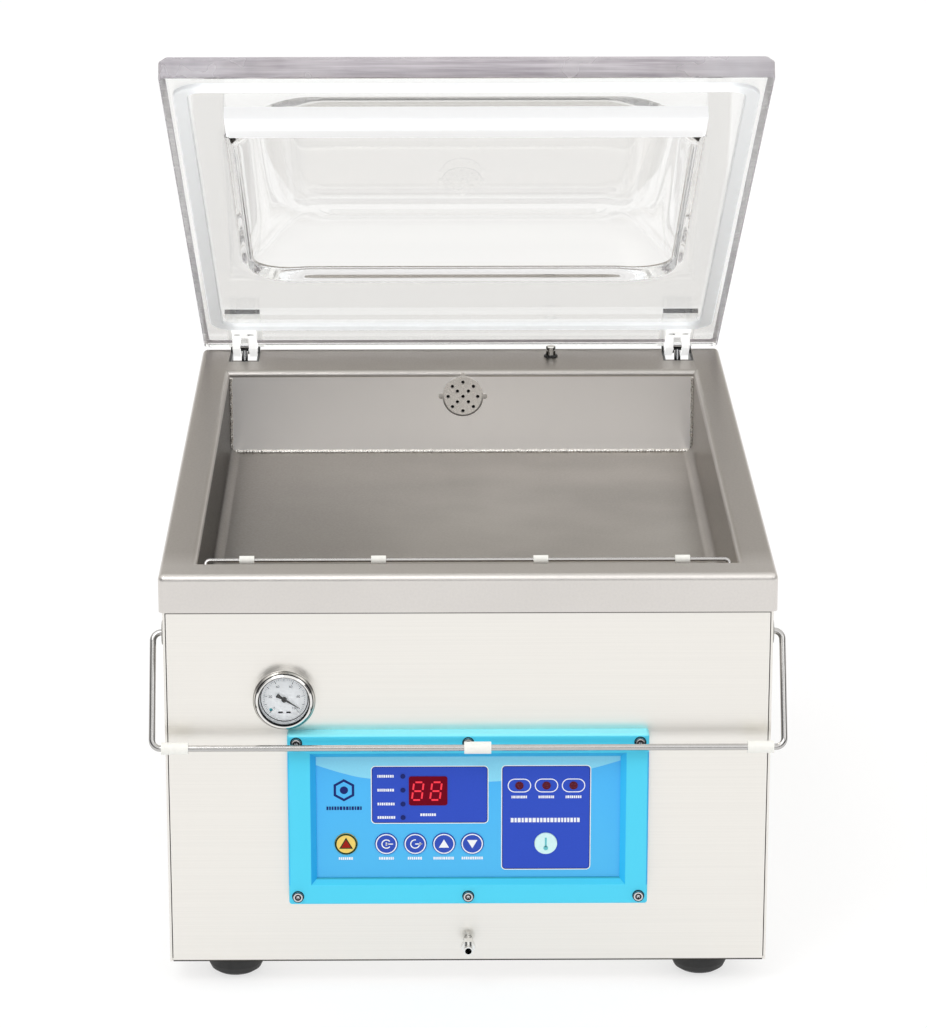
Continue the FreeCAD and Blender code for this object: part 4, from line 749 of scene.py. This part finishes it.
def print_panel():
    """Wave, windows, borders and captions on the membrane."""
    wave = Ink("print_wave", "print_pale", lift=0.04)
    line = smooth_profile([(-82, 130.5), (-67, 125.6), (-52.5, 122.6), (-20, 120.4), (16, 120.9), (45, 123.9),
                           (65.3, 127.8), (82, 132.7)])
    wave.shape([tuple(p) for p in line] + [(82, 135.6), (-82, 135.6)])
    wave.done()
    royal = Ink("print_windows", "print_royal")
    white = Ink("print_marks", "print_white", lift=0.12)
    royal.shape(panel_box(*WINDOW_ONE))
    heat, hole = KEY_XS["heat"], KEY_HOLE
    royal.ring(panel_box(*WINDOW_TWO),
               panel_box(heat - hole, KEY_ROW - hole, heat + hole, KEY_ROW + hole, corner=hole - 0.02))
    royal.done()
    for window in (WINDOW_ONE, WINDOW_TWO):
        white.ring(panel_box(*window, grow=0.45), panel_box(*window, grow=0.0))
    inner = Ink("print_window_lines", "print_navy", lift=0.12)
    for window in (WINDOW_ONE, WINDOW_TWO):
        inner.ring(panel_box(*window), panel_box(*window, grow=-0.4))
    inner.done()
    for x in LAMP_XS:
        oval = (x - 6.3, LAMP_ROW - 3.95, x + 6.3, LAMP_ROW + 3.95)
        white.ring(panel_box(*oval, corner=3.9), panel_box(*oval, corner=3.9, grow=-0.5))
        caption(white, x, LAMP_ROW - 6.6, 8.5, seed=int(x))
    for i, z in enumerate(DOT_ROWS):
        caption(white, -44.2, z, 9.5, seed=i + 3)
    caption(white, -21.6, 101.7, 8.5, seed=9)
    caption(white, 42.0, 98.4, 38, 2.5, seed=5)
    for name in ("stop", "vacuum", "seal", "plus", "minus"):
        caption(white, KEY_XS[name], 76.4, 11.5 if name in ("plus", "minus") else 8, seed=len(name))
    white.done()
    emblem = Ink("print_emblem", "print_navy")
    emblem.ring(disc(-67, 116, 6.4, 6, 30), disc(-67, 116, 4.9, 6, 30))
    emblem.shape(disc(-67, 116, 2.2))
    caption(emblem, -67, 105.6, 19, 2.0, seed=4)
    emblem.done()


def print_details():
    """Dark lenses over the four signal dots, painted shade rings round the screws and inside their heads, and
    the display's red window.
    """
    lenses = Ink("dot_lenses", "print_navy", slot="lamp_red", face=LAMP_FACE, lift=0.06)
    for z in DOT_ROWS:
        lenses.shape(disc(DOT_X, z, 1.35, 24))
    lenses.done()
    # painted shade: dark rings round each screw on the frame and inside its head
    rim_shade = Ink("screw_rim_shade", "print_black", slot="frame_blue", face=FRAME_FACE, lift=0.1)
    head_shade = Ink("screw_head_shade", "print_black", slot="screw_steel", face=SCREW_FACE, lift=0.05)
    for x in SCREW_XS:
        for z in SCREW_ROWS:
            rim_shade.ring(disc(x, z, 3.25), disc(x, z, 2.88))
            head_shade.ring(disc(x, z, 2.88), disc(x, z, 2.5))
            head_shade.ring(disc(x, z, 1.75), disc(x, z, 0.95))
    rim_shade.done()
    head_shade.done()
    low, high = (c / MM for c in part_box("display"))
    window = Ink("display_window", "display_red", slot="display_red", face=high.y, lift=high.y - low.y)
    window.shape(panel_box(low.x, low.z, high.x, high.z, 1.3))
    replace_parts(window.done(), "display")


def print_keys():
    """Rings and signs on the six keys; each moves with its key."""
    for name, x in KEY_XS.items():
        body = f"key_{name}"
        if name == "stop":
            ring = Ink("key_stop_ring", "print_green", body, "key_yellow", KEY_FACE)
            ring.ring(disc(x, KEY_ROW, 6.05), disc(x, KEY_ROW, 5.15))
            ring.shape(disc(x, KEY_ROW - 0.5, 4.3, 3, 90))
            ring.done()
            sign = Ink("key_stop_sign", "print_red", body, "key_yellow", KEY_FACE, 0.12)
            sign.shape(disc(x, KEY_ROW - 0.5, 3.1, 3, 90))
            sign.done()
            continue
        if name == "heat":
            sign = Ink("key_heat_sign", "print_mist", body, "key_aqua", KEY_FACE)
            sign.shape(bar(x, KEY_ROW - 2, x, KEY_ROW + 3.4, 1.1))
            sign.shape(disc(x, KEY_ROW - 2.6, 1.3))
            sign.done()
            continue
        ink = Ink(f"key_{name}_marks", "print_white", body, "key_blue", KEY_FACE)
        ink.ring(disc(x, KEY_ROW, 5.75), disc(x, KEY_ROW, 5.15))
        if name == "plus":
            ink.shape(disc(x, KEY_ROW - 0.6, 3.2, 3, 90))
        elif name == "minus":
            ink.shape(disc(x, KEY_ROW + 0.6, 3.2, 3, 270))
        else:
            way = -1 if name == "vacuum" else 1
            ink.shape(arc_band(x, KEY_ROW, 2.1, 2.7, 40, 320) if way < 0
                      else arc_band(x, KEY_ROW, 2.1, 2.7, 80, 360))
            ink.shape(bar(x, KEY_ROW, x + 3.6, KEY_ROW, 0.6))
            tip = x + (3.9 if way > 0 else 1.2)
            ink.shape([(tip - 1.5, KEY_ROW - 1.1), (tip, KEY_ROW), (tip - 1.5, KEY_ROW + 1.1)])
        ink.done()


def print_digits():
    """Two lit seven-segment digits behind the red window."""
    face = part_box("display")[0].y / MM
    ink = Ink("display_digits", "digit_red", slot="display_red", face=face)
    height, width, stroke, lean = 10.2, 5.2, 0.95, 0.12
    low = 110.4
    for left in (-30.4, -20.6):
        spots = {k: (left + dx * width + lean * dz * height, low + dz * height)
                 for k, (dx, dz) in {"bl": (0, 0), "br": (1, 0), "ml": (0, .5), "mr": (1, .5), "tl": (0, 1),
                                     "tr": (1, 1)}.items()}
        for a, b in (("bl", "br"), ("ml", "mr"), ("tl", "tr"), ("bl", "ml"), ("br", "mr"), ("ml", "tl"),
                     ("mr", "tr")):
            start, end = np.array(spots[a]), np.array(spots[b])
            trim = (end - start) / np.linalg.norm(end - start) * 0.75
            ink.shape(bar(*(start + trim), *(end - trim), stroke))
    ink.done()


def print_dial():
    """Scale marks, figures and the small signs of the vacuum gauge, with a painted dark reflection as a dark
    ring round the dial's edge.
    """
    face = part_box("gauge_dial")[0].y / MM
    x, z = GAUGE
    black = Ink("dial_marks", "print_black", slot="dial_white", face=face, lift=0.05)
    for k in range(51):
        angle = math.radians(225 - 270 * k / 50)
        long = 2.1 if k % 10 == 0 else 1.5 if k % 5 == 0 else 0.9
        cos, sin = math.cos(angle), math.sin(angle)
        black.shape(bar(x + (11.4 - long) * cos, z + (11.4 - long) * sin, x + 11.4 * cos, z + 11.4 * sin,
                        0.28 if long > 1 else 0.16))
    # painted dark reflection: a dark ring round the dial's edge for the bezel's inner wall
    black.ring(disc(x, z, 12.95, 64), disc(x, z, 12.45, 64))
    black.shape(panel_box(x - 3.4, z - 8.2, x - 0.9, z - 7.2, 0.3))
    black.shape(panel_box(x + 0.9, z - 8.2, x + 3.4, z - 7.2, 0.3))
    black.done()
    teal = Ink("dial_spot", "print_teal", slot="dial_white", face=face, lift=0.05)
    teal.shape(disc(x - 7.2, z - 6.1, 0.9))
    teal.done()
    for k, text in enumerate(("0", "20", "40", "60", "80", "100")):
        angle = math.radians(225 - 54 * k)
        curve = bpy.data.curves.new(f"dial_figure_{k}", "FONT")
        curve.body, curve.size, curve.extrude = text, 2.1 * MM, 0.02 * MM
        curve.align_x, curve.align_y = "CENTER", "CENTER"
        holder = bpy.data.objects.new("figure", curve)
        bpy.context.scene.collection.objects.link(holder)
        bpy.context.view_layer.update()
        depsgraph = bpy.context.evaluated_depsgraph_get()
        mesh = bpy.data.meshes.new_from_object(holder.evaluated_get(depsgraph))
        bpy.data.objects.remove(holder)
        spot = Vector((x + 7.6 * math.cos(angle), face - 0.03, z + 7.6 * math.sin(angle))) * MM
        mesh.transform(Matrix.Translation(spot) @ Matrix.Rotation(math.radians(90), 4, "X"))
        mesh.materials.clear()
        mesh.materials.append(LOOKS["print_black"])
        figure = bpy.data.objects.new(f"dial_figure_{k}", mesh)
        bpy.context.scene.collection.objects.link(figure)
        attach(figure, "root")


# ---------------------------------------------------------------- studio

def make_floor():
    mesh = bpy.data.meshes.new("floor")
    reach = 12.0
    mesh.from_pydata([(-reach, -reach, 0), (reach, -reach, 0), (reach, reach, 0), (-reach, reach, 0)], [],
                     [(0, 1, 2, 3)])
    material, shader = blank("floor_paper")
    shader.inputs["Base Color"].default_value = (0.32, 0.32, 0.32, 1)
    shader.inputs["Roughness"].default_value = 0.9
    shader.inputs["Emission Color"].default_value = (1, 1, 1, 1)
    shader.inputs["Emission Strength"].default_value = 0.68
    mesh.materials.append(material)
    floor = bpy.data.objects.new("floor", mesh)
    bpy.context.scene.collection.objects.link(floor)


def area_light(name, place, target, size, power):
    data = bpy.data.lights.new(name, "AREA")
    data.shape, data.size, data.energy = "DISK", size, power
    light = bpy.data.objects.new(name, data)
    light.location = place
    light.rotation_euler = (Vector(target) - Vector(place)).to_track_quat("-Z", "Y").to_euler()
    bpy.context.scene.collection.objects.link(light)


def make_light():
    """A studio with a bright ceiling, dim walls at eye level and two soft lamps."""
    world = bpy.data.worlds.new("studio")
    bpy.context.scene.world = world
    world.use_nodes = True
    back = world.node_tree.nodes["Background"]
    coords = add(world, "ShaderNodeTexCoord")
    split = add(world, "ShaderNodeSeparateXYZ")
    join(world, coords.outputs["Generated"], split.inputs[0])
    behind = ranged(world, split.outputs["Y"], 0.0, 1.0, -0.2, 0.3)
    wall = mixed(world, behind, (0.16, 0.16, 0.165), (0.64, 0.62, 0.59))
    ceiling = ranged(world, split.outputs["Z"], 0.0, 1.0, 0.42, 0.62)
    join(world, mixed(world, ceiling, wall, (1.15, 1.15, 1.14)), back.inputs["Color"])
    back.inputs["Strength"].default_value = 1.0
    area_light("key", (-1.0, -1.9, 2.6), (0, 0, 0.2), 1.5, 22)
    area_light("fill", (1.8, -1.8, 1.6), (0, 0, 0.2), 1.2, 5)
    area_light("front", (0.1, -2.6, 1.25), (0, 0, 0.3), 1.2, 4)


def make_camera():
    data = bpy.data.cameras.new("camera")
    data.sensor_width = 36
    data.lens = 141.19
    data.clip_start, data.clip_end = 0.05, 60
    camera = bpy.data.objects.new("camera", data)
    camera.location = (-0.02088, -2.25875, 0.9108)
    camera.rotation_euler = Euler((math.radians(90 - 17.479), 0, math.radians(-0.518)))
    bpy.context.scene.collection.objects.link(camera)
    bpy.context.scene.camera = camera
    bpy.context.scene.view_settings.view_transform = "Standard"
    bpy.context.scene.cycles.glossy_bounces = 16
    bpy.context.scene.cycles.transmission_bounces = 16
    bpy.context.scene.cycles.max_bounces = 24


dress_frame()
make_lid()
make_welds()
print_panel()
print_details()
print_keys()
print_digits()
print_dial()
make_floor()
make_light()
make_camera()
